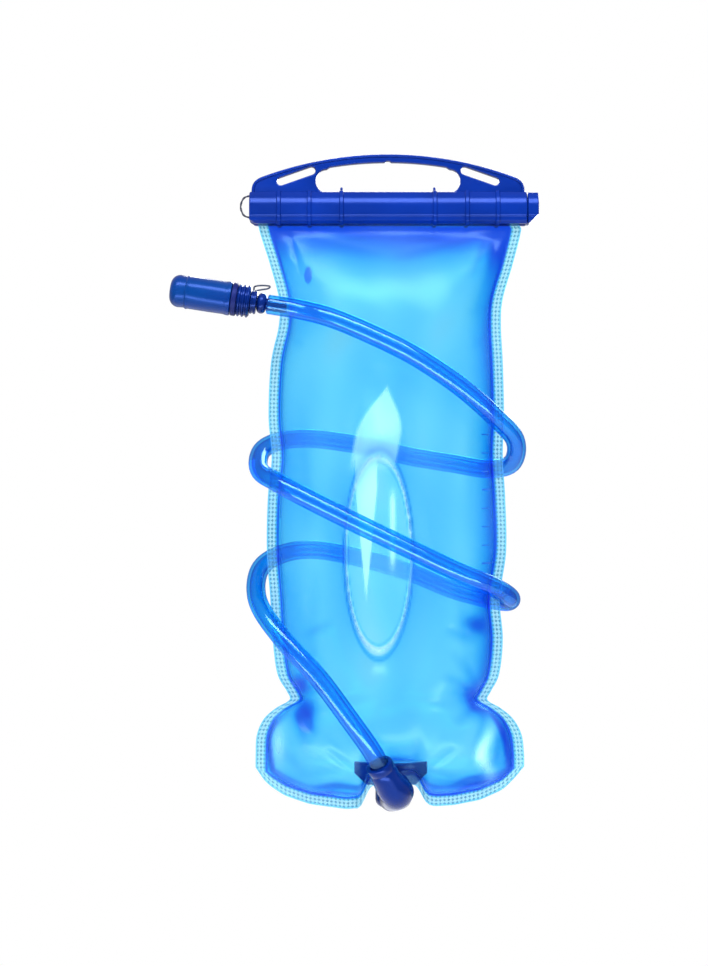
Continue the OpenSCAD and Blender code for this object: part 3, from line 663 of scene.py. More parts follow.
def film_grid(sizes):
    """Places across and down a panel: rows between the edges down to the lobes, then columns that end
    on the bottom edge. Both are the panel's x and z, rows by columns."""
    rows, cols = sizes.film_rows, sizes.film_columns
    last = BAG_TOP - OUTLINE[-1][0] * mm(sizes.bag_height)
    lower = int(rows * 0.14)
    z = np.linspace(PANEL_TOP, last, rows - lower + 1)
    left, right = bag_edges(z, sizes)
    t = np.linspace(0, 1, cols + 1)[None, :]
    upper_x = left[:, None] * (1 - t) + right[:, None] * t
    upper_z = np.broadcast_to(z[:, None], upper_x.shape)
    x = upper_x[-1]
    down = np.linspace(0, 1, lower + 1)[1:, None]
    lower_z = last + (bag_bottom(x, sizes)[None, :] - last) * down
    lower_x = np.broadcast_to(x, lower_z.shape)
    return np.vstack([upper_x, lower_x]), np.vstack([upper_z, lower_z])


def film_tones(x, z, edge, oval, folds, flat, line, front):
    """Depth of colour and milky share of the film. It is deeper under the clamp, partly where the film
    gathers at the mouth and partly as painted shade, deeper in the folds' valleys as painted shade and
    lighter on raised folds as a painted highlight, deeper at the pinches partly as painted shade, deeper
    towards the side edges with painted shade on the right, and on the pressed line, which lies line
    millimetres inside the edge, paler where flat says it is welded, and milky with painted highlights on the
    front panel: a leaf over the oval weld's top, two slivers below it, and a fold in each lobe."""
    drop = BAG_TOP - z
    # Deeper in a band below the clamp: partly the film gathering at the mouth, partly painted shade under the
    # clamp
    under = ramp((CLAMP_LOW[2] + 4 - z) / 6) * (0.55 * bell(np.maximum(drop, 0), 19)
                                                + 0.4 * bell(drop - 3 * np.sin(x / 19), 4))
    # Deeper spots at the pinches and by the right edge: partly folded film, partly painted shade
    pinch = sum(share * bell(x - x0, wide) * bell(z - z0, tall) for x0, z0, wide, tall, share in DEEP_SPOTS)
    spot_x, spot_z, spot_wide, spot_tall = WELD_SPOT
    spot = ramp(3 - 2.6 * np.hypot((x - spot_x) / spot_wide, (z - spot_z) / spot_tall)) * front
    rim = bell(edge - line, 0.9) * 0.8
    # A wavy deeper line along the lobes' inner edge: partly film bent at the weld, partly painted shade in
    # that crease
    lobe_line = ramp((-300 - z) / 12) * bell(edge - line - 3 - 1.6 * np.sin(x / 6 + z / 9), 1.6) * 0.75
    ring = 0.45 * bell(oval - 1.07, 0.018) - 0.3 * bell(oval - 1.0, 0.05) + 0.3 * bell(oval - 0.93, 0.014)
    flows = np.sin(x / 17 + 2.1 * np.sin(z / 31)) * np.sin(z / 27 + 1.4 * np.sin(x / 23))
    streaks = np.sin(x / 4.3 + 1.5 * np.sin(z / 47)) * bell(z + 190, 130)
    # Deeper towards both side edges, where the film is seen at a slant, and deeper still on the right as
    # painted shade
    sides = 0.3 * bell(edge - line, 9) * (1 + 0.6 * np.sign(x))
    # The folds term deepens the colour in fold valleys as painted shade and lightens the raised folds as a
    # painted highlight
    tint = 0.36 + under - 0.13 * folds + 0.8 * pinch + spot + rim + lobe_line + ring + sides
    tint += 0.09 * flows + 0.03 * streaks - 0.08 * (oval < 1)
    weld_tint = 0.04 + 0.3 * bell(edge - 0.3, 0.5) + 0.35 * bell(edge - line, 0.8)
    tint = tint * (1 - flat) + flat * weld_tint
    # The painted highlights: the leaf's half width falls to a point at its top, and the sliver's at its foot
    leaf_half = 13.4 * swell((-121 - z) / 30) ** 1.3
    leaf = ramp((leaf_half - np.abs(x + 1.6 - 0.18 * (z + 128))) / 2.4) * ramp((z + 172) / 10)
    taper = 6.6 * np.clip((z + 248) / 68, 0, 1)
    sliver = ramp((taper - np.abs(x + 12)) / 1.5) * ramp((-158 - z) / 14)
    second = bell(x - 2.5, 1.5) * ramp((z + 228) / 16) * ramp((-176 - z) / 12)
    lobe_fold = bell(x - 53 - 3 * np.sin(z / 5), 4) * bell(z + 322, 13)
    lobe_fold = lobe_fold + 0.6 * bell(x + 60, 4) * bell(z + 318, 12)
    haze = (0.04 + 0.03 * flows + 0.3 * leaf * front + 0.4 * sliver * front + 0.5 * second * front
            + 0.5 * lobe_fold * front + 0.08 * flat + 0.22 * bell(oval - 1.0, 0.03) + 0.05 * (oval < 1))
    return tint, haze


def film_panel(name, side, material, sizes):
    """One welded panel: two skins of the same grid, the film's thickness apart, joined all round. Its
    points carry the film's tones, and its UV map counts millimetres along the weld and across it."""
    x, z = film_grid(sizes)
    left, right = bag_edges(z, sizes)
    inner, folds, edge, oval = film_shape(x, z, left, right, sizes, -side)
    skins = [np.stack([x, side * (inner + thick), z], -1) for thick in (mm(sizes.film), 0)]
    points = np.concatenate([skin.reshape(-1, 3) for skin in skins])
    faces = shell_faces(*x.shape)
    if side > 0:
        faces = [f[:, ::-1] for f in faces]
    piece = add_piece(name, points, faces, material, weld=False, sharp=60)
    flat = 1 - ramp((edge - mm(sizes.weld) + LINE_IN + 1) / 1.5)
    tint, haze = film_tones(x, z, edge, oval, folds, flat, mm(sizes.weld) - LINE_IN, side < 0)
    for label, values in (("tint", tint), ("haze", haze), ("weld", flat * (edge > 0.5))):
        both = np.tile(np.clip(values, 0, 1).ravel(), 2).astype(np.float32)
        piece.data.attributes.new(label, "FLOAT", "POINT").data.foreach_set("value", both)
    run = np.where(z - bag_bottom(x, sizes) < np.minimum(x - left, right - x), x, z)
    flat_place = np.tile(np.stack([run, edge], -1).reshape(-1, 2), (2, 1))
    corner = np.zeros(len(piece.data.loops), np.int32)
    piece.data.loops.foreach_get("vertex_index", corner)
    layer = piece.data.uv_layers.new(name="weld_mm")
    layer.data.foreach_set("uv", flat_place[corner].astype(np.float32).ravel())
    return piece


def scale_marks(material, sizes):
    """Plain filling scale printed on the front panel: bars a centimetre apart, every fourth
    of them long, each a thin patch that lies on the film."""
    points, faces = [], []
    for k in range(9):
        wide, high = (7.5, 0.9) if k % 4 == 0 else (4.2, 0.6)
        x, z = np.meshgrid(50.5 + np.linspace(0, wide, 7), -140 - 10 * k + np.linspace(0, high, 3))
        left, right = bag_edges(z, sizes)
        y = -film_shape(x, z, left, right, sizes, 1)[0] - mm(sizes.film)
        faces += shell_faces(*x.shape, first=sum(len(skin) for skin in points))
        points += [np.stack([x, y - lift, z], -1).reshape(-1, 3) for lift in (0.12, 0.03)]
    return add_piece("filling_scale", np.concatenate(points), faces, material, weld=False)


# --- the slide clamp ---
STRIP_H, ARCH_FALL, HANDLE_HALF = 4.4, 14.6, 75
ARCH_R = (HANDLE_HALF ** 2 + ARCH_FALL ** 2) / (2 * ARCH_FALL)
HANDLE_DROP, PLATE_T, FINGER_HALF, FINGER_ROUND = 16.5, 4.6, 39.5, 6.3
SIDE_SLOT_IN, SIDE_SLOT_OUT, SIDE_SLOT_R = 42.1, 58.8, 2.2
PLATE_IN, PLATE_BEVEL = 0.8, 0.7
# The ribs' and hooks' places from the middle, as shares of the clamp's length
RIB_PLACES = (0.168, 0.284, 0.394)
# Half of the channel's outer section and of its cavity, as depth and height
OUTER_HALF = [[4, -16.5], [6.8, -19.9], [8, -23.5], [8, -29.5], [7.1, -30.7], [7.1, -32.5], [5.4, -34.1]]
# Fillet at each corner of the outer section, and at every corner of the cavity
OUTER_ROUNDS = [1.5, 8, 8, 3, 0.5, 0.5, 0.5]
INNER_ROUND = 0.25
INNER_HALF = [[2.2, -34.1], [2.2, -31.2], [5.2, -31.2], [5.2, -21.2]]
LEAD_IN_Z, LEAD_IN_SLOPE = -31.9, 0.78
RIM_HALF, RIM_DEPTH = 0.95, 3.05
STOP_SLOPE = 0.95


def arch_z(x, drop=0.0):
    """Height of the handle's arch at x, on a circle whose radius is smaller by drop."""
    return STRIP_H - ARCH_R + np.sqrt((ARCH_R - drop) ** 2 - x ** 2)


def channel_loop(halves):
    """Closed section of the channel with rounded corners, and how much each point belongs to the
    outside: the half sections, then the same mirrored, with a fillet at each corner."""
    half = np.concatenate([np.array(part, float) for part in halves])
    whole = np.concatenate([half, half[::-1] * (-1, 1)])
    outside = np.concatenate([np.full(len(part), 1.0 - k) for k, part in enumerate(halves)])
    rounds = np.concatenate([OUTER_ROUNDS, np.full(len(half) - len(OUTER_ROUNDS), INNER_ROUND)])
    outside = np.concatenate([outside, outside[::-1]])
    radii = np.concatenate([rounds, rounds[::-1]])
    return fillet(whole, radii, 8), np.repeat(outside, 8)


def loop_sweep(name, loop, outside, x, grow, material, shape=None):
    """A section carried along X: each point moves out along the section's own normal by grow at that
    place where it is outside, and both ends are closed."""
    slope = np.roll(loop, -1, 0) - np.roll(loop, 1, 0)
    normal = unit(np.stack([slope[:, 1], -slope[:, 0]], -1))
    turn = np.sum(loop[:, 0] * np.roll(loop[:, 1], -1) - np.roll(loop[:, 0], -1) * loop[:, 1])
    normal = normal * np.sign(turn)
    section = loop[None] + normal[None] * (grow[:, None] * outside[None])[..., None]
    points = np.concatenate([np.broadcast_to(x[:, None, None], (*section.shape[:2], 1)), section], -1)
    if shape:
        points = shape(points)
    faces = tube_faces(len(x), len(loop))
    return add_piece(name, points.reshape(-1, 3), faces, material, weld=False, sharp=35)


def clamp_channel(material, sizes):
    """The channel that grips the rails, with three raised ribs a side and its lead-in at the left."""
    ribs = [side * place * 2 * CLAMP_HALF for place in RIB_PLACES for side in (-1, 1)]
    x = spread(-CLAMP_HALF, CLAMP_HALF, ribs + [-CLAMP_HALF, CLAMP_HALF], 4.0, 0.25, 2.6)
    rib_half = mm(sizes.rib) / 2
    rise = sum(ramp((rib_half + 0.25 - np.abs(x - rib)) / 0.5) for rib in ribs)
    ends = 0.8 * (1 - crown((CLAMP_HALF - np.abs(x)) / 0.8))
    loop, outside = channel_loop((OUTER_HALF, INNER_HALF))

    def lead_in(points):
        """Cuts the left end off below a slanted line, so that the rails find their way in."""
        line = LEAD_IN_Z - LEAD_IN_SLOPE * (points[..., 0] + CLAMP_HALF)
        points = points.copy()
        points[..., 2] = np.maximum(points[..., 2], np.minimum(line, STRIP_H))
        return points

    return loop_sweep("clamp_channel", loop, outside, x, mm(sizes.rib_proud) * rise - ends, material, lead_in)


def flat_plate(name, outlines, half, bevel, material):
    """A plate in the plane of X and Z from closed outlines, the first its edge and the others its
    holes, filled by a flat curve whose edges are rounded by bevel."""
    curve = bpy.data.curves.new(name, "CURVE")
    curve.dimensions, curve.fill_mode = "2D", "BOTH"
    curve.extrude, curve.bevel_depth = (half - bevel) * MM, bevel * MM
    curve.offset, curve.bevel_resolution = -bevel * MM, 3
    for outline in outlines:
        spline = curve.splines.new("POLY")
        spline.points.add(len(outline) - 1)
        flat = np.concatenate([outline * MM, np.zeros((len(outline), 1)), np.ones((len(outline), 1))], 1)
        spline.points.foreach_set("co", flat.astype(np.float32).ravel())
        spline.use_cyclic_u = True
    drawn = bpy.data.objects.new(name + "_curve", curve)
    bpy.context.scene.collection.objects.link(drawn)
    bpy.context.view_layer.update()
    mesh = bpy.data.meshes.new_from_object(drawn.evaluated_get(bpy.context.evaluated_depsgraph_get()))
    bpy.data.objects.remove(drawn)
    shape = bmesh.new()
    shape.from_mesh(mesh)
    for corner in shape.verts:
        corner.co = (corner.co.x, -corner.co.z, corner.co.y)
    bmesh.ops.remove_doubles(shape, verts=shape.verts, dist=5e-6)
    bmesh.ops.recalc_face_normals(shape, faces=shape.faces)
    shape.to_mesh(mesh)
    shape.free()
    mesh.polygons.foreach_set("use_smooth", np.ones(len(mesh.polygons), bool))
    mesh.set_sharp_from_angle(angle=np.radians(30))
    mesh.materials.clear()
    mesh.materials.append(material)
    piece = bpy.data.objects.new(name, mesh)
    bpy.context.scene.collection.objects.link(piece)
    return piece


def handle_edge():
    """The handle's edge from its left foot to its right: a side that turns in to the arch on a
    quadratic curve, the arch, and the other side. Closed across its foot, it is the plate's outline."""
    x = np.linspace(-69.5, 69.5, 70)
    arc = np.stack([x, arch_z(x)], -1)
    t = np.linspace(0, 1, 9)[1:-1, None]
    corner, low = np.array([HANDLE_HALF, arch_z(HANDLE_HALF)]), np.array([HANDLE_HALF, -15.5])
    right = arc[-1] * (1 - t) ** 2 + 2 * corner * t * (1 - t) + low * t ** 2
    right = np.concatenate([right, [low, (HANDLE_HALF, -19.5)]])
    return np.concatenate([(right * (-1, 1))[::-1], arc, right])


def moved_in(route, distance):
    """A route in the plane of X and Z moved to its right by distance."""
    aims = unit(np.gradient(route, axis=0))
    return route + distance * np.stack([aims[:, 1], -aims[:, 0]], -1)


def finger_outline():
    """The finger slot: arched above, round at both ends, with a small notch in the middle. Its upper
    corners are filleted against the line that touches the arc where it ends."""
    reach = FINGER_HALF - FINGER_ROUND - 1.2
    x = np.unique(np.concatenate([np.linspace(-reach, reach, 60), np.linspace(-1.6, 1.6, 13)]))
    top = arch_z(x, STRIP_H)
    notch = arch_z(0, STRIP_H) + 0.8 * np.sqrt(np.maximum(1 - (x / 1.5) ** 2, 0))
    top = np.where(np.abs(x) < 1.5, notch, top)
    slope = reach / np.sqrt((ARCH_R - STRIP_H) ** 2 - reach ** 2)
    shoulder, low = arch_z(reach, STRIP_H) - slope * (FINGER_HALF - reach), -HANDLE_DROP - 0.1
    rounded = fillet([[-FINGER_HALF, low], [-FINGER_HALF, shoulder], [FINGER_HALF, shoulder],
                      [FINGER_HALF, low]], FINGER_ROUND * 0.9, 10)
    return np.concatenate([rounded[:20], np.stack([x, top], -1), rounded[20:]])


def side_slot_outline(side):
    """A slanted slot beside the finger slot: two half circles and the lines between them."""
    ends = np.array([[SIDE_SLOT_IN, arch_z(SIDE_SLOT_IN) - 4.5], [SIDE_SLOT_OUT, arch_z(SIDE_SLOT_OUT) - 6]])
    run = ends[1] - ends[0]
    heading = np.arctan2(run[1], run[0])
    half_turn = np.linspace(-np.pi / 2, np.pi / 2, 12)
    far = ends[1] + SIDE_SLOT_R * np.stack([np.cos(heading + half_turn), np.sin(heading + half_turn)], -1)
    near = ends[0] - SIDE_SLOT_R * np.stack([np.cos(heading + half_turn), np.sin(heading + half_turn)], -1)
    return np.concatenate([far, near]) * (side, 1)


def handle_rim(material):
    """The raised edge that follows the arch: a rounded bar bent along it and down at both ends. Its
    section is a superellipse."""
    route = moved_in(handle_edge(), RIM_HALF)
    path = np.stack([route[:, 0], np.zeros(len(route)), route[:, 1]], -1)
    angle = circle(28)
    out = np.cross(unit(np.gradient(path, axis=0)), -BACK)
    wide = squared(np.sin(angle), 0.45) * RIM_DEPTH
    tall = squared(np.cos(angle), 0.7) * RIM_HALF
    points = path[:, None] + tall[None, :, None] * out[:, None] + wide[None, :, None] * BACK
    faces = tube_faces(len(path), len(angle))
    return add_piece("clamp_rim", points.reshape(-1, 3), faces, material, weld=False)


def clamp_hooks(material):
    """Two small hooks that stand up in the finger slot, with rounded tips."""
    rise = np.array([0, 0.4, 2.2, 3.2, 3.7, 3.9])
    width = np.array([1.0, 0.95, 0.85, 0.8, 0.55, 0.02])[:, None]
    angle = circle(20)
    points, faces = [], []
    for k, side in enumerate((-1, 1)):
        x = side * RIB_PLACES[0] * 2 * CLAMP_HALF + width * np.cos(angle) * 0.95
        y = 1.15 + width * np.sin(angle) * 1.1
        z = np.broadcast_to((-HANDLE_DROP - 0.6 + rise)[:, None], x.shape)
        points.append(np.stack([x, y, z], -1).reshape(-1, 3))
        faces += [part + k * x.size for part in tube_faces(*x.shape)]
    return add_piece("clamp_hooks", np.concatenate(points), faces, material)


def end_stop(material):
    """The stop on the rails' right end: the channel's section, cut on a slant below."""
    low, high = STOP_LOW[0], STOP_HIGH[0]
    x = spread(low, high, [low, high], 0.8, 0.15, 0.9)
    loop, outside = channel_loop((OUTER_HALF,))
    grow = -0.3 - 0.7 * (1 - crown(np.minimum(x - low, high - x) / 0.7))

    def slanted(points):
        """Cuts the stop off below a line that rises to the right."""
        line = CLAMP_LOW[2] + 0.3 + STOP_SLOPE * np.maximum(points[..., 0] - low, 0)
        points = points.copy()
        points[..., 2] = np.maximum(points[..., 2], line)
        return points

    return loop_sweep("end_stop", loop, outside, x, grow, material, slanted)


# --- the outlet and the hose ---
# The hose from the outlet to the valve, twice round the bag, as the frame's hose lies
HOSE_ROUTE = np.array([
    [-2, -24, -333], [-9, -30, -319], [-20, -33, -303], [-38, -32, -279], [-58, -26, -258],
    [-71, -11, -240], [-71, 11, -224], [-59, 26, -216], [-40, 32, -214], [-13, 32, -219],
    [14, 32, -227], [36, 31, -236], [55, 25, -241], [66, 11, -242], [66, -11, -238],
    [55, -26, -231], [36, -32, -223], [9, -33, -210], [-16, -33, -198], [-40, -32, -186],
    [-59, -26, -176], [-70, -11, -169], [-70, 11, -158], [-59, 26, -152], [-40, 32, -151],
    [-12, 33, -155], [14, 33, -161], [38, 32, -165], [57, 26, -168], [69, 11, -165],
    [69, -11, -153], [57, -26, -141], [38, -33, -125], [14, -35, -109], [-10, -35, -97],
    [-31, -31, -88], [-48, -24, -83], [-65, -22, -80]], float)
VALVE_TILT = np.radians(8.5)
VALVE_AXIS = np.array([-np.cos(VALVE_TILT), 0, np.sin(VALVE_TILT)])
VALVE_UP = np.array([np.sin(VALVE_TILT), 0, np.cos(VALVE_TILT)])
VALVE_FOOT = HOSE_ROUTE[-1]
# The lanyard loop's wire, up, across and along from the valve's foot
LANYARD = [[6.0, 0.9, 8.4], [8.4, 1, 8.4], [9.6, 0.8, 4.5], [9.7, 0, 0.4], [8.3, -0.6, 1.0], [7.1, -1, 4.4],
           [6.0, -1, 7.4]]
# The tether's loop on the clamp's left end
TETHER = [[-73.2, 0, -18.2], [-76, 0, -18.2], [-79.4, 0, -19.6], [-81, 0, -24.15], [-79.4, 0, -28.7],
          [-76, 0, -30.1], [-73.2, 0, -30.1]]
# The port's wings: how far they reach down from its top and up over it, their height at both tips, how
# much they gain for each millimetre in from a tip, and the power that squares their section
PORT_DEEP, PORT_UP, TIP_HEIGHT, TIP_SLOPE, WING_POWER = 10, 2.5, 6.4, 0.95, 0.35
SPIGOT_R, SPIGOT_BORE = 5.95, 4.2
# The elbow's hood, and the radius that closes a turned shape at its axis
HOOD_R, HOOD_BORE, HOOD_RISE, HOOD_DEEP, POLE = 8.45, 6.3, 5.6, 9, 0.01
# The elbow's arm: its radius where it starts, its socket, and its outside as distances back from the
# socket's mouth and radii
ARM_ROOT, SOCKET_R, SOCKET_DEEP = 6.0, 5.4, 9
ARM_WALL = [[0, 5.4], [0, 6.9], [0.15, 7.25], [0.6, 7.45], [3.6, 7.45], [4.0, 7.2], [4.4, 7.2], [4.8, 7.45],
            [8, 7.6], [14, 8.3], [18.5, 9.2], [21.5, 9.4], [24.5, 9.0], [29, 7.6], [34, 6.6]]


def hose_line():
    """The hose's centreline: the route's smooth curve, about 3 mm between points."""
    spans = len(HOSE_ROUTE) - 1
    return through(HOSE_ROUTE, np.linspace(0, spans, spans * 8 + 1))


def hose_tube(material, sizes):
    """The hose: its outer wall, then its bore, round the same centreline, with chamfered ends."""
    line = hose_line()
    total = np.linalg.norm(np.diff(line, axis=0), axis=1).sum()
    outer, bore = mm(sizes.hose) / 2, mm(sizes.bore) / 2
    s = np.concatenate([[0, 0.4], np.linspace(1.5, total - 1.5, 330), [total - 0.4, total]])
    radii = np.full(len(s), outer)
    radii[[0, -1]] -= 0.35
    places, aims = along(line, np.concatenate([s, s[::-1]]))
    both = np.concatenate([radii, np.full(len(s), bore)])
    points = rings(places, aims, both, 28, (0, 0, 1))
    faces = grid_faces(len(both), 28, wrap_rows=True, wrap_cols=True)
    return add_piece("drinking_hose", points.reshape(-1, 3), [faces], material, sharp=60), line, total


def outlet_elbow(material):
    """The elbow: a hood that turns on the port's spigot, and a round arm out of it that ends in the
    hose's socket. The arm is a tube whose radius follows its length; its mouth folds back inside."""
    foot, top = ELBOW_FOOT, PORT_LOW[2] + HOOD_RISE
    hood = np.array([
        [foot, POLE], [foot, HOOD_R - 4.6], [foot + 0.5, HOOD_R - 2.8], [foot + 1.5, HOOD_R - 1.3],
        [foot + 2.9, HOOD_R - 0.35], [foot + 4.6, HOOD_R], [top - 0.6, HOOD_R], [top - 0.15, HOOD_R - 0.15],
        [top, HOOD_R - 0.6], [top, HOOD_BORE], [top - HOOD_DEEP, HOOD_BORE], [top - HOOD_DEEP, POLE]])
    places = PORT_MIDDLE * RIGHT + hood[:, :1] * UP
    hood_points = rings(places, np.broadcast_to(UP, places.shape), hood[:, 1], 56, BACK).reshape(-1, 3)
    start = HOSE_ROUTE[0]
    aim = unit(HOSE_ROUTE[1] - start)
    route = np.array([[PORT_MIDDLE, -1, foot + 5.5], [PORT_MIDDLE + 0.4, -9, foot + 6.2],
                      start - 13.5 * aim + (0.6, 1.5, 1.6), start - 6 * aim, start, start + 8 * aim])
    fine = through(route, np.linspace(0, len(route) - 1, 81))
    total = np.linalg.norm(np.diff(fine, axis=0), axis=1).sum()
    back, wall = np.transpose(ARM_WALL)
    s = np.concatenate([[0, 0], total - back[::-1], [total - SOCKET_DEEP] * 2])
    radii = np.concatenate([[POLE, ARM_ROOT], wall[::-1], [SOCKET_R, POLE]])
    places, aims = along(fine, s)
    arm_points = rings(places, aims, radii, 44, RIGHT).reshape(-1, 3)
    hood_faces = grid_faces(len(hood), 56, wrap_cols=True)
    arm_faces = grid_faces(len(s), 44, wrap_cols=True)
    if solid_volume(arm_points, [arm_faces]) * solid_volume(hood_points, [hood_faces]) < 0:
        arm_faces = arm_faces[:, ::-1]
    faces = [hood_faces, arm_faces + len(hood_points)]
    return add_piece("outlet_hood", np.concatenate([hood_points, arm_points]), faces, material, sharp=40)


def bead(low, high, radius, edge, inner):
    """Profile of a ring between low and high: rounded outer corners by edge, and a straight bore."""
    soft = edge * 0.3
    return [[low, inner], [low, radius - edge], [low + soft, radius - soft], [low + edge, radius],
            [high - edge, radius], [high - soft, radius - soft], [high, radius - edge], [high, inner]]


def cap_profile():
    """The dust cap: a slightly barrelled skirt, a groove and bead where the dome starts, and a domed
    end, outside and then inside."""
    s = np.array([19.8, 20.0, 20.5, 22.2, 22.6, 23.4, 32, 42.6, 43.1, 43.5, 43.9, 44.4])
    r = np.array([8.5, 8.95, 9.1, 9.1, 8.9, 8.8, 8.85, 8.75, 9.0, 9.1, 8.9, 8.45])
    turn = np.linspace(0, np.pi / 2, 10)
    dome_s, dome_r = 47.8 + 5 * np.sin(turn), 3.7 + 5.0 * np.cos(turn)
    outer = np.stack([np.concatenate([s, dome_s, [52.8]]), np.concatenate([r, dome_r, [0.01]])], -1)
    inner_turn = np.linspace(np.pi / 2, 0, 8)
    inner = np.stack([44.4 + 7 * np.sin(inner_turn), 3.3 + 4.2 * np.cos(inner_turn)], -1)
    inner = np.concatenate([[[51.4, 0.01]], inner, [[42, 7.7], [20.2, 7.7], [19.8, 8.0]]])
    return np.concatenate([outer, inner])


def collar_profile():
    """The twist collar: three rounded ribs, each a cosine swell, then the smooth hub, and its bore."""
    s = np.linspace(9.5, 16.5, 61)
    rib = np.clip(1.25 * np.cos(2 * np.pi * (s - 9.5 - 7 / 6) / (7 / 3)), -1, 1)
    r = 8.35 + 0.45 * rib
    r[[0, -1]] -= 0.35
    hub = [[16.5, 6.7], [16.8, 6.4], [20.1, 6.4], [20.4, 6.15], [20.5, 5.8], [20.5, 3.15], [9.5, 3.15]]
    return np.concatenate([np.stack([s, r], -1), hub])


def neck_profile():
    """The ball-shaped ring behind the plug: part of a circle, with a straight bore."""
    turn = np.linspace(0.12, np.pi - 0.12, 20)
    return np.concatenate([np.stack([3.3 - 2.5 * np.cos(turn), 3.1 + 2.45 * np.sin(turn)], -1),
                           [[5.75, 3.1], [0.85, 3.1]]])


def stem_profile():
    """The stem: three barbs in the hose, a waist, the plug with its two fins, and the nose."""
    barbs = [[-10.2, 2.05], [-10.2, 2.9], [-6.8, 3.55], [-6.6, 3.0], [-6.5, 3.0], [-3.2, 3.58], [-3.0, 3.0],
             [0.2, 3.58], [0.5, 3.1], [0.8, 3.1], [5.8, 3.1]]
    plug = bead(6.1, 9.3, 6.4, 0.5, 3.1)
    waist = [[7.1, 6.4], [7.3, 5.9], [8.1, 5.9], [8.3, 6.4]]
    nose = [[9.5, 3.08], [24.8, 3.08], [25.6, 2.6], [25.6, 2.05]]
    return np.array(barbs + plug[:4] + waist + plug[4:] + nose)


def mouthpiece_profile():
    """The bite mouthpiece: a foot, a soft waist, a round nose, and the hollow behind the slit."""
    turn = np.linspace(0, np.pi / 2, 10)
    outside = [[20.65, 5.9], [20.9, 6.35], [22.6, 6.35], [23.1, 5.9], [24.5, 5.5], [30, 5.2], [36, 5.4]]
    nose = np.stack([41.0 + 5.6 * np.sin(turn), 0.01 + 5.58 * np.cos(turn)], -1)
    inner_turn = np.linspace(np.pi / 2, 0, 8)
    hollow = np.stack([40.8 + 4.0 * np.sin(inner_turn), 0.01 + 4.0 * np.cos(inner_turn)], -1)
    return np.concatenate([outside, nose, hollow, [[25.8, 4.1], [25.7, 3.15], [20.65, 3.15]]])


def valve_place(up, across, s):
    """A place beside the valve: up, across and along its axis from its foot."""
    return VALVE_FOOT + up * VALVE_UP + across * BACK + s * VALVE_AXIS


def valve_ring(name, profile, material, sides=72, sharp=40):
    """A turned piece of the valve, its profile measured along the valve's axis from its foot."""
    return turned(name, profile, VALVE_FOOT, VALVE_AXIS, material, sides, sharp)


def port_body(material):
    """The boat-shaped port: a section of rounded corners whose half thickness follows the boat and
    whose lower edge rises towards both tips, and the spigot below it."""
    low, high = PORT_LOW[0], PORT_HIGH[0]
    x = spread(low, high, [low, high], 0.8, 0.2, 1.5)
    half = np.maximum(boat_half(x), 0.35)[:, None]
    inwards = high - PORT_MIDDLE - np.abs(x - PORT_MIDDLE)
    tall = np.clip(TIP_HEIGHT + TIP_SLOPE * inwards, 0, PORT_DEEP + PORT_UP)[:, None]
    angle = circle(40)
    y = half * squared(np.cos(angle), WING_POWER)
    z = PORT_HIGH[2] + PORT_UP - tall / 2 + tall / 2 * squared(np.sin(angle), WING_POWER)
    points = np.stack([np.broadcast_to(x[:, None], y.shape), y, z], -1)
    wings = add_piece("outlet_port_body", points.reshape(-1, 3), tube_faces(*y.shape), material,
                      weld=False, sharp=60)
    foot, root = PORT_LOW[2], PORT_HIGH[2] - 9
    spigot = [[foot, SPIGOT_BORE], [foot, SPIGOT_R - 0.45], [foot + 0.5, SPIGOT_R], [root, SPIGOT_R],
              [root, SPIGOT_BORE]]
    return wings, turned("outlet_spigot", spigot, PORT_MIDDLE * RIGHT, UP, material)


# --- one of each material ---
def made_once(name, maker, *values):
    """The material of that name, made the first time it is asked for."""
    return bpy.data.materials.get(name) or maker(name, *values)


def navy_plastic(colours):
    """Moulded translucent navy ABS of the outlet and the valve."""
    return made_once("moulded_navy_abs", moulded_plastic, rgba(colours.navy), rgba(colours.navy_shade), 0.2)


def seal_rubber(colours):
    """Moulded nitrile rubber of the seals."""
    return made_once("moulded_nitrile_rubber", soft_material, rgba(colours.rubber), TONES["rubber_bloom"],
                     0.5, 0.6)


def clamp_plastic(colours):
    """Moulded translucent royal blue polypropylene of the clamp."""
    return made_once("moulded_royal_polypropylene", moulded_plastic, rgba(colours.clamp),
                     rgba(colours.clamp_shade), 0.24)


def repaint(node, material):
    """Gives a CAD node a material through its slots."""
    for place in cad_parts[node].material_slots:
        place.material = material


# --- the stage, in metres ---
CAMERA_PLACE, CAMERA_LENS, CAMERA_SENSOR = (-0.0187, -0.95, -0.176), 64.4, 36
FLOOR_HALF, FLOOR_LEVEL = 0.9, -0.7
# Each area light's name, place, aim, size, power, and the kinds of ray that don't find it
LIGHTS = (
    ("key", (-0.05, -0.66, 0.66), (0, 0, -0.06), (1.1, 0.3), 16, ()),
    ("low_card", (-0.1, -0.62, -0.66), (0, 0, -0.2), (1.2, 0.3), 12, ("visible_diffuse",)),
    ("fill", (0.85, -0.55, -0.1), (0, 0, -0.18), (0.5, 0.5), 6, ("visible_glossy",)),
    ("front", (-0.5, -0.9, 0.1), (0, 0, -0.18), (0.7, 0.7), 10, ("visible_glossy",)),
    ("back", (0.2, 0.9, 0.3), (0, 0, -0.18), (0.6, 0.6), 12, ()))


def softbox(scene, name, place, aim, size, power, hidden_from):
    """A rectangular area light at place that faces aim. hidden_from names the kinds of ray that don't
    find it, so that a card can give highlights alone."""
    light = bpy.data.lights.new(name, "AREA")
    light.shape, light.energy = "RECTANGLE", power
    light.size, light.size_y = size
    lamp = bpy.data.objects.new(name, light)
    lamp.location = place
    lamp.rotation_euler = (Vector(aim) - Vector(place)).to_track_quat("-Z", "Y").to_euler()
    for kind in hidden_from:
        setattr(lamp, kind, False)
    scene.collection.objects.link(lamp)


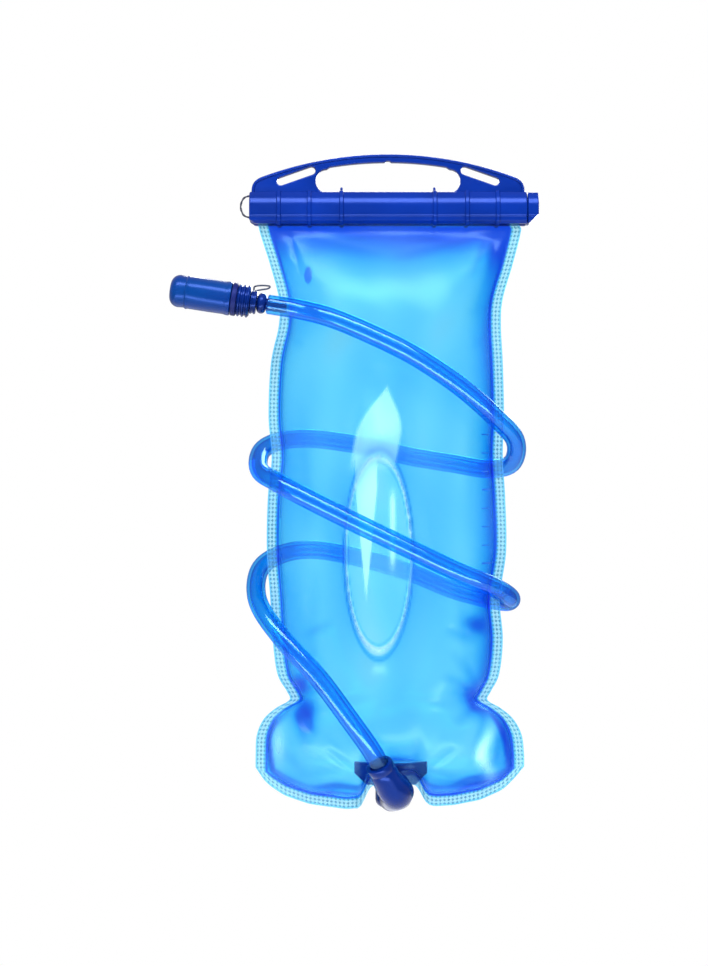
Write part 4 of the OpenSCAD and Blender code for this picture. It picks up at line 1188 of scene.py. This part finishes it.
def add_stage(scene, paint):
    """Camera in front of the bag, a pale floor well below it, a surround that the camera sees as
    white, four softboxes, and a card that gives highlights alone."""
    camera = bpy.data.objects.new("camera", bpy.data.cameras.new("camera"))
    camera.data.lens, camera.data.sensor_width = CAMERA_LENS, CAMERA_SENSOR
    camera.location, camera.rotation_euler = CAMERA_PLACE, (np.radians(90), 0, 0)
    scene.collection.objects.link(camera)
    scene.camera = camera
    scene.view_settings.view_transform = "Standard"
    scene.cycles.transparent_max_bounces = 32
    scene.world = bpy.data.worlds.new("white_surround")
    scene.world.use_nodes = True
    scene.world.node_tree.nodes.clear()
    add = partial(add_node, scene.world.node_tree)
    rays = add("LightPath").outputs
    seen = add("MapRange", (rays["Is Camera Ray"], 0, 1, 0.5, 1.0))
    mirrored = add("MapRange", (rays["Is Glossy Ray"], 0, 1, 0, 0.05))
    strength = add("Math", (seen, mirrored), operation="ADD")
    add("OutputWorld", (add("Background", {"Color": (1, 1, 1, 1), "Strength": strength}),))
    mesh = bpy.data.meshes.new("floor")
    places = [(x * FLOOR_HALF, y * FLOOR_HALF, FLOOR_LEVEL) for x, y in ((-1, -1), (1, -1), (1, 1), (-1, 1))]
    mesh.from_pydata(places, [], [(0, 1, 2, 3)])
    mesh.materials.append(paint)
    floor = bpy.data.objects.new("floor", mesh)
    scene.collection.objects.link(floor)
    for light in LIGHTS:
        softbox(scene, *light)


# --- operators ---
class BLADDER_OT_stage(bpy.types.Operator):
    """Camera, floor, white surround and softboxes"""
    bl_idname = "bladder.stage"
    bl_label = "Stage"

    def execute(self, context):
        scene = context.scene
        add_stage(scene, floor_paint("matt_studio_paint", rgba(scene.bladder_colours.floor)))
        return {"FINISHED"}


class BLADDER_OT_valve(bpy.types.Operator):
    """Valve stem with its ring, lanyard loop and seal"""
    bl_idname = "bladder.valve"
    bl_label = "Valve stem"

    def execute(self, context):
        sizes, colours = context.scene.bladder_sizes, context.scene.bladder_colours
        navy = navy_plastic(colours)
        seat(valve_ring("barbed_stem", stem_profile(), navy), "reservoir", "navy_plastic", "valve_stem")
        seat(valve_ring("ball_ring", neck_profile(), navy), "reservoir", "navy_plastic", "neck_ring")
        steel = made_once("drawn_coated_wire", drawn_wire, TONES["wire"], TONES["wire_line"])
        loop = np.array([valve_place(*place) for place in LANYARD])
        piece = wire("lanyard_wire", loop, mm(sizes.wire), steel, per_span=10)
        seat(piece, "reservoir", "spring_steel", "lanyard_loop")
        repaint("stem_o_ring", seal_rubber(colours))
        return {"FINISHED"}


class BLADDER_OT_collar(bpy.types.Operator):
    """Ribbed twist collar and its seal ring"""
    bl_idname = "bladder.collar"
    bl_label = "Twist collar"

    def execute(self, context):
        colours = context.scene.bladder_colours
        seat(valve_ring("twist_collar", collar_profile(), navy_plastic(colours), 96, 60),
             "twist_valve", "navy_plastic", "valve_collar")
        seat(valve_ring("cap_seal", bead(16.6, 19.6, 8.9, 0.7, 6.5), seal_rubber(colours)),
             "twist_valve", "seal_rubber", "seal_ring")
        return {"FINISHED"}


class BLADDER_OT_mouthpiece(bpy.types.Operator):
    """Silicone bite mouthpiece under the cap"""
    bl_idname = "bladder.mouthpiece"
    bl_label = "Bite mouthpiece"

    def execute(self, context):
        colours = context.scene.bladder_colours
        silicone = made_once("moulded_silicone", soft_material, rgba(colours.silicone),
                             TONES["silicone_bloom"], 0.42, 1.2, 0.25)
        seat(valve_ring("bite_nozzle", mouthpiece_profile(), silicone, sharp=60),
             "twist_valve", "silicone", "bite_mouthpiece")
        return {"FINISHED"}


class BLADDER_OT_cap(bpy.types.Operator):
    """Dust cap with its domed end"""
    bl_idname = "bladder.cap"
    bl_label = "Dust cap"

    def execute(self, context):
        colours = context.scene.bladder_colours
        plastic = made_once("moulded_cap_polypropylene", moulded_plastic, rgba(colours.cap),
                            rgba(colours.navy), 0.24)
        seat(valve_ring("dust_cap_shell", cap_profile(), plastic, 96), "cap", "cap_plastic", "dust_cap")
        return {"FINISHED"}


class BLADDER_OT_hose(bpy.types.Operator):
    """Drinking hose from the outlet, twice round the bag, to the valve"""
    bl_idname = "bladder.hose"
    bl_label = "Drinking hose"

    def execute(self, context):
        sizes, colours = context.scene.bladder_sizes, context.scene.bladder_colours
        tube = made_once("extruded_polyurethane_tube", hose_material, colours)
        piece, line, total = hose_tube(tube, sizes)
        seat(piece, "reservoir", "hose_tube", "hose")
        return {"FINISHED"}


class BLADDER_OT_clamp(bpy.types.Operator):
    """Slide clamp with its handle, channel, ribs and hooks"""
    bl_idname = "bladder.clamp"
    bl_label = "Slide clamp"

    def execute(self, context):
        sizes, colours = context.scene.bladder_sizes, context.scene.bladder_colours
        plastic = clamp_plastic(colours)
        holes = [finger_outline(), side_slot_outline(-1), side_slot_outline(1)]
        plate = flat_plate("clamp_handle", [moved_in(handle_edge(), PLATE_IN), *holes], PLATE_T / 2,
                           PLATE_BEVEL, plastic)
        for piece in (clamp_channel(plastic, sizes), plate, handle_rim(plastic), clamp_hooks(plastic)):
            seat(piece, "clamp", "clamp_plastic", "slide_clamp")
        return {"FINISHED"}


class BLADDER_OT_tether(bpy.types.Operator):
    """Thin cord loop on the clamp's left end"""
    bl_idname = "bladder.tether"
    bl_label = "Clamp tether"

    def execute(self, context):
        sizes = context.scene.bladder_sizes
        braid = made_once("braided_polyester", braided_cord, TONES["braid"], TONES["braid_gap"])
        piece = wire("tether_loop", TETHER, mm(sizes.tether), braid, sides=20, per_span=14, twist=1.9)
        seat(piece, "clamp", "tether_cord", "clamp_tether")
        return {"FINISHED"}


class BLADDER_OT_rails(bpy.types.Operator):
    """Mouth rails and the stop on their right end"""
    bl_idname = "bladder.rails"
    bl_label = "Mouth rails"

    def execute(self, context):
        colours = context.scene.bladder_colours
        rail = made_once("extruded_blue_polyethylene", moulded_plastic, TONES["rail"],
                         TONES["rail_flow"], 0.3, 0.25, TONES["rail_through"])
        for node in ("front_mouth_rail", "back_mouth_rail"):
            repaint(node, rail)
        seat(end_stop(clamp_plastic(colours)), "reservoir", "clamp_plastic", "rail_end_stop")
        return {"FINISHED"}


class BLADDER_OT_film(bpy.types.Operator):
    """Front and back film panels and the printed filling scale"""
    bl_idname = "bladder.film"
    bl_label = "Film panels"

    def execute(self, context):
        sizes, colours = context.scene.bladder_sizes, context.scene.bladder_colours
        film = made_once("welded_polyurethane_film", film_material, colours, sizes)
        for side, name, rail in ((-1, "front", "front_mouth_rail"), (1, "back", "back_mouth_rail")):
            piece = film_panel(name + "_film", side, film, sizes)
            seat(piece, "reservoir", "film", name + "_panel")
        ink = made_once("screen_printed_ink", printed_ink, rgba(colours.print_ink))
        seat(scale_marks(ink, sizes), "reservoir", "film")
        return {"FINISHED"}


class BLADDER_OT_outlet(bpy.types.Operator):
    """Outlet port, its elbow, lock ring and seal"""
    bl_idname = "bladder.outlet"
    bl_label = "Outlet"

    def execute(self, context):
        colours = context.scene.bladder_colours
        navy = navy_plastic(colours)
        port = made_once("moulded_port_polyethylene", moulded_plastic, TONES["port"], TONES["port_flow"],
                         0.3, 0.12, TONES["port_through"])
        for piece in port_body(port):
            seat(piece, "reservoir", "navy_plastic", "outlet_port")
        seat(outlet_elbow(navy), "reservoir", "navy_plastic", "outlet_elbow")
        repaint("outlet_o_ring", seal_rubber(colours))
        repaint("outlet_lock_ring", navy)
        return {"FINISHED"}


class BLADDER_PT_pieces(bpy.types.Panel):
    """Sizes, colours and pieces of the bladder"""
    bl_idname = "BLADDER_PT_pieces"
    bl_label = "Hydration bladder"
    bl_space_type = "VIEW_3D"
    bl_region_type = "UI"
    bl_category = "Bladder"

    def draw(self, context):
        for operator in OPERATORS:
            self.layout.operator(operator.bl_idname)
        for group in (context.scene.bladder_sizes, context.scene.bladder_colours):
            column = self.layout.column()
            for name in group.__annotations__:
                column.prop(group, name)


# In the order they are made: the camera, then the hose and what is on it
OPERATORS = (BLADDER_OT_stage, BLADDER_OT_valve, BLADDER_OT_collar, BLADDER_OT_mouthpiece, BLADDER_OT_cap,
             BLADDER_OT_hose, BLADDER_OT_clamp, BLADDER_OT_tether, BLADDER_OT_rails, BLADDER_OT_film,
             BLADDER_OT_outlet)
CLASSES = (BladderSizes, BladderColours, *OPERATORS, BLADDER_PT_pieces)


def register():
    for item in CLASSES:
        bpy.utils.register_class(item)
    bpy.types.Scene.bladder_sizes = PointerProperty(type=BladderSizes)
    bpy.types.Scene.bladder_colours = PointerProperty(type=BladderColours)


def unregister():
    del bpy.types.Scene.bladder_colours, bpy.types.Scene.bladder_sizes
    for item in reversed(CLASSES):
        bpy.utils.unregister_class(item)


def main():
    """Makes every piece in order."""
    register()
    for operator in OPERATORS:
        getattr(bpy.ops.bladder, operator.bl_idname.split(".")[1])()


if __name__ == "__main__":
    main()
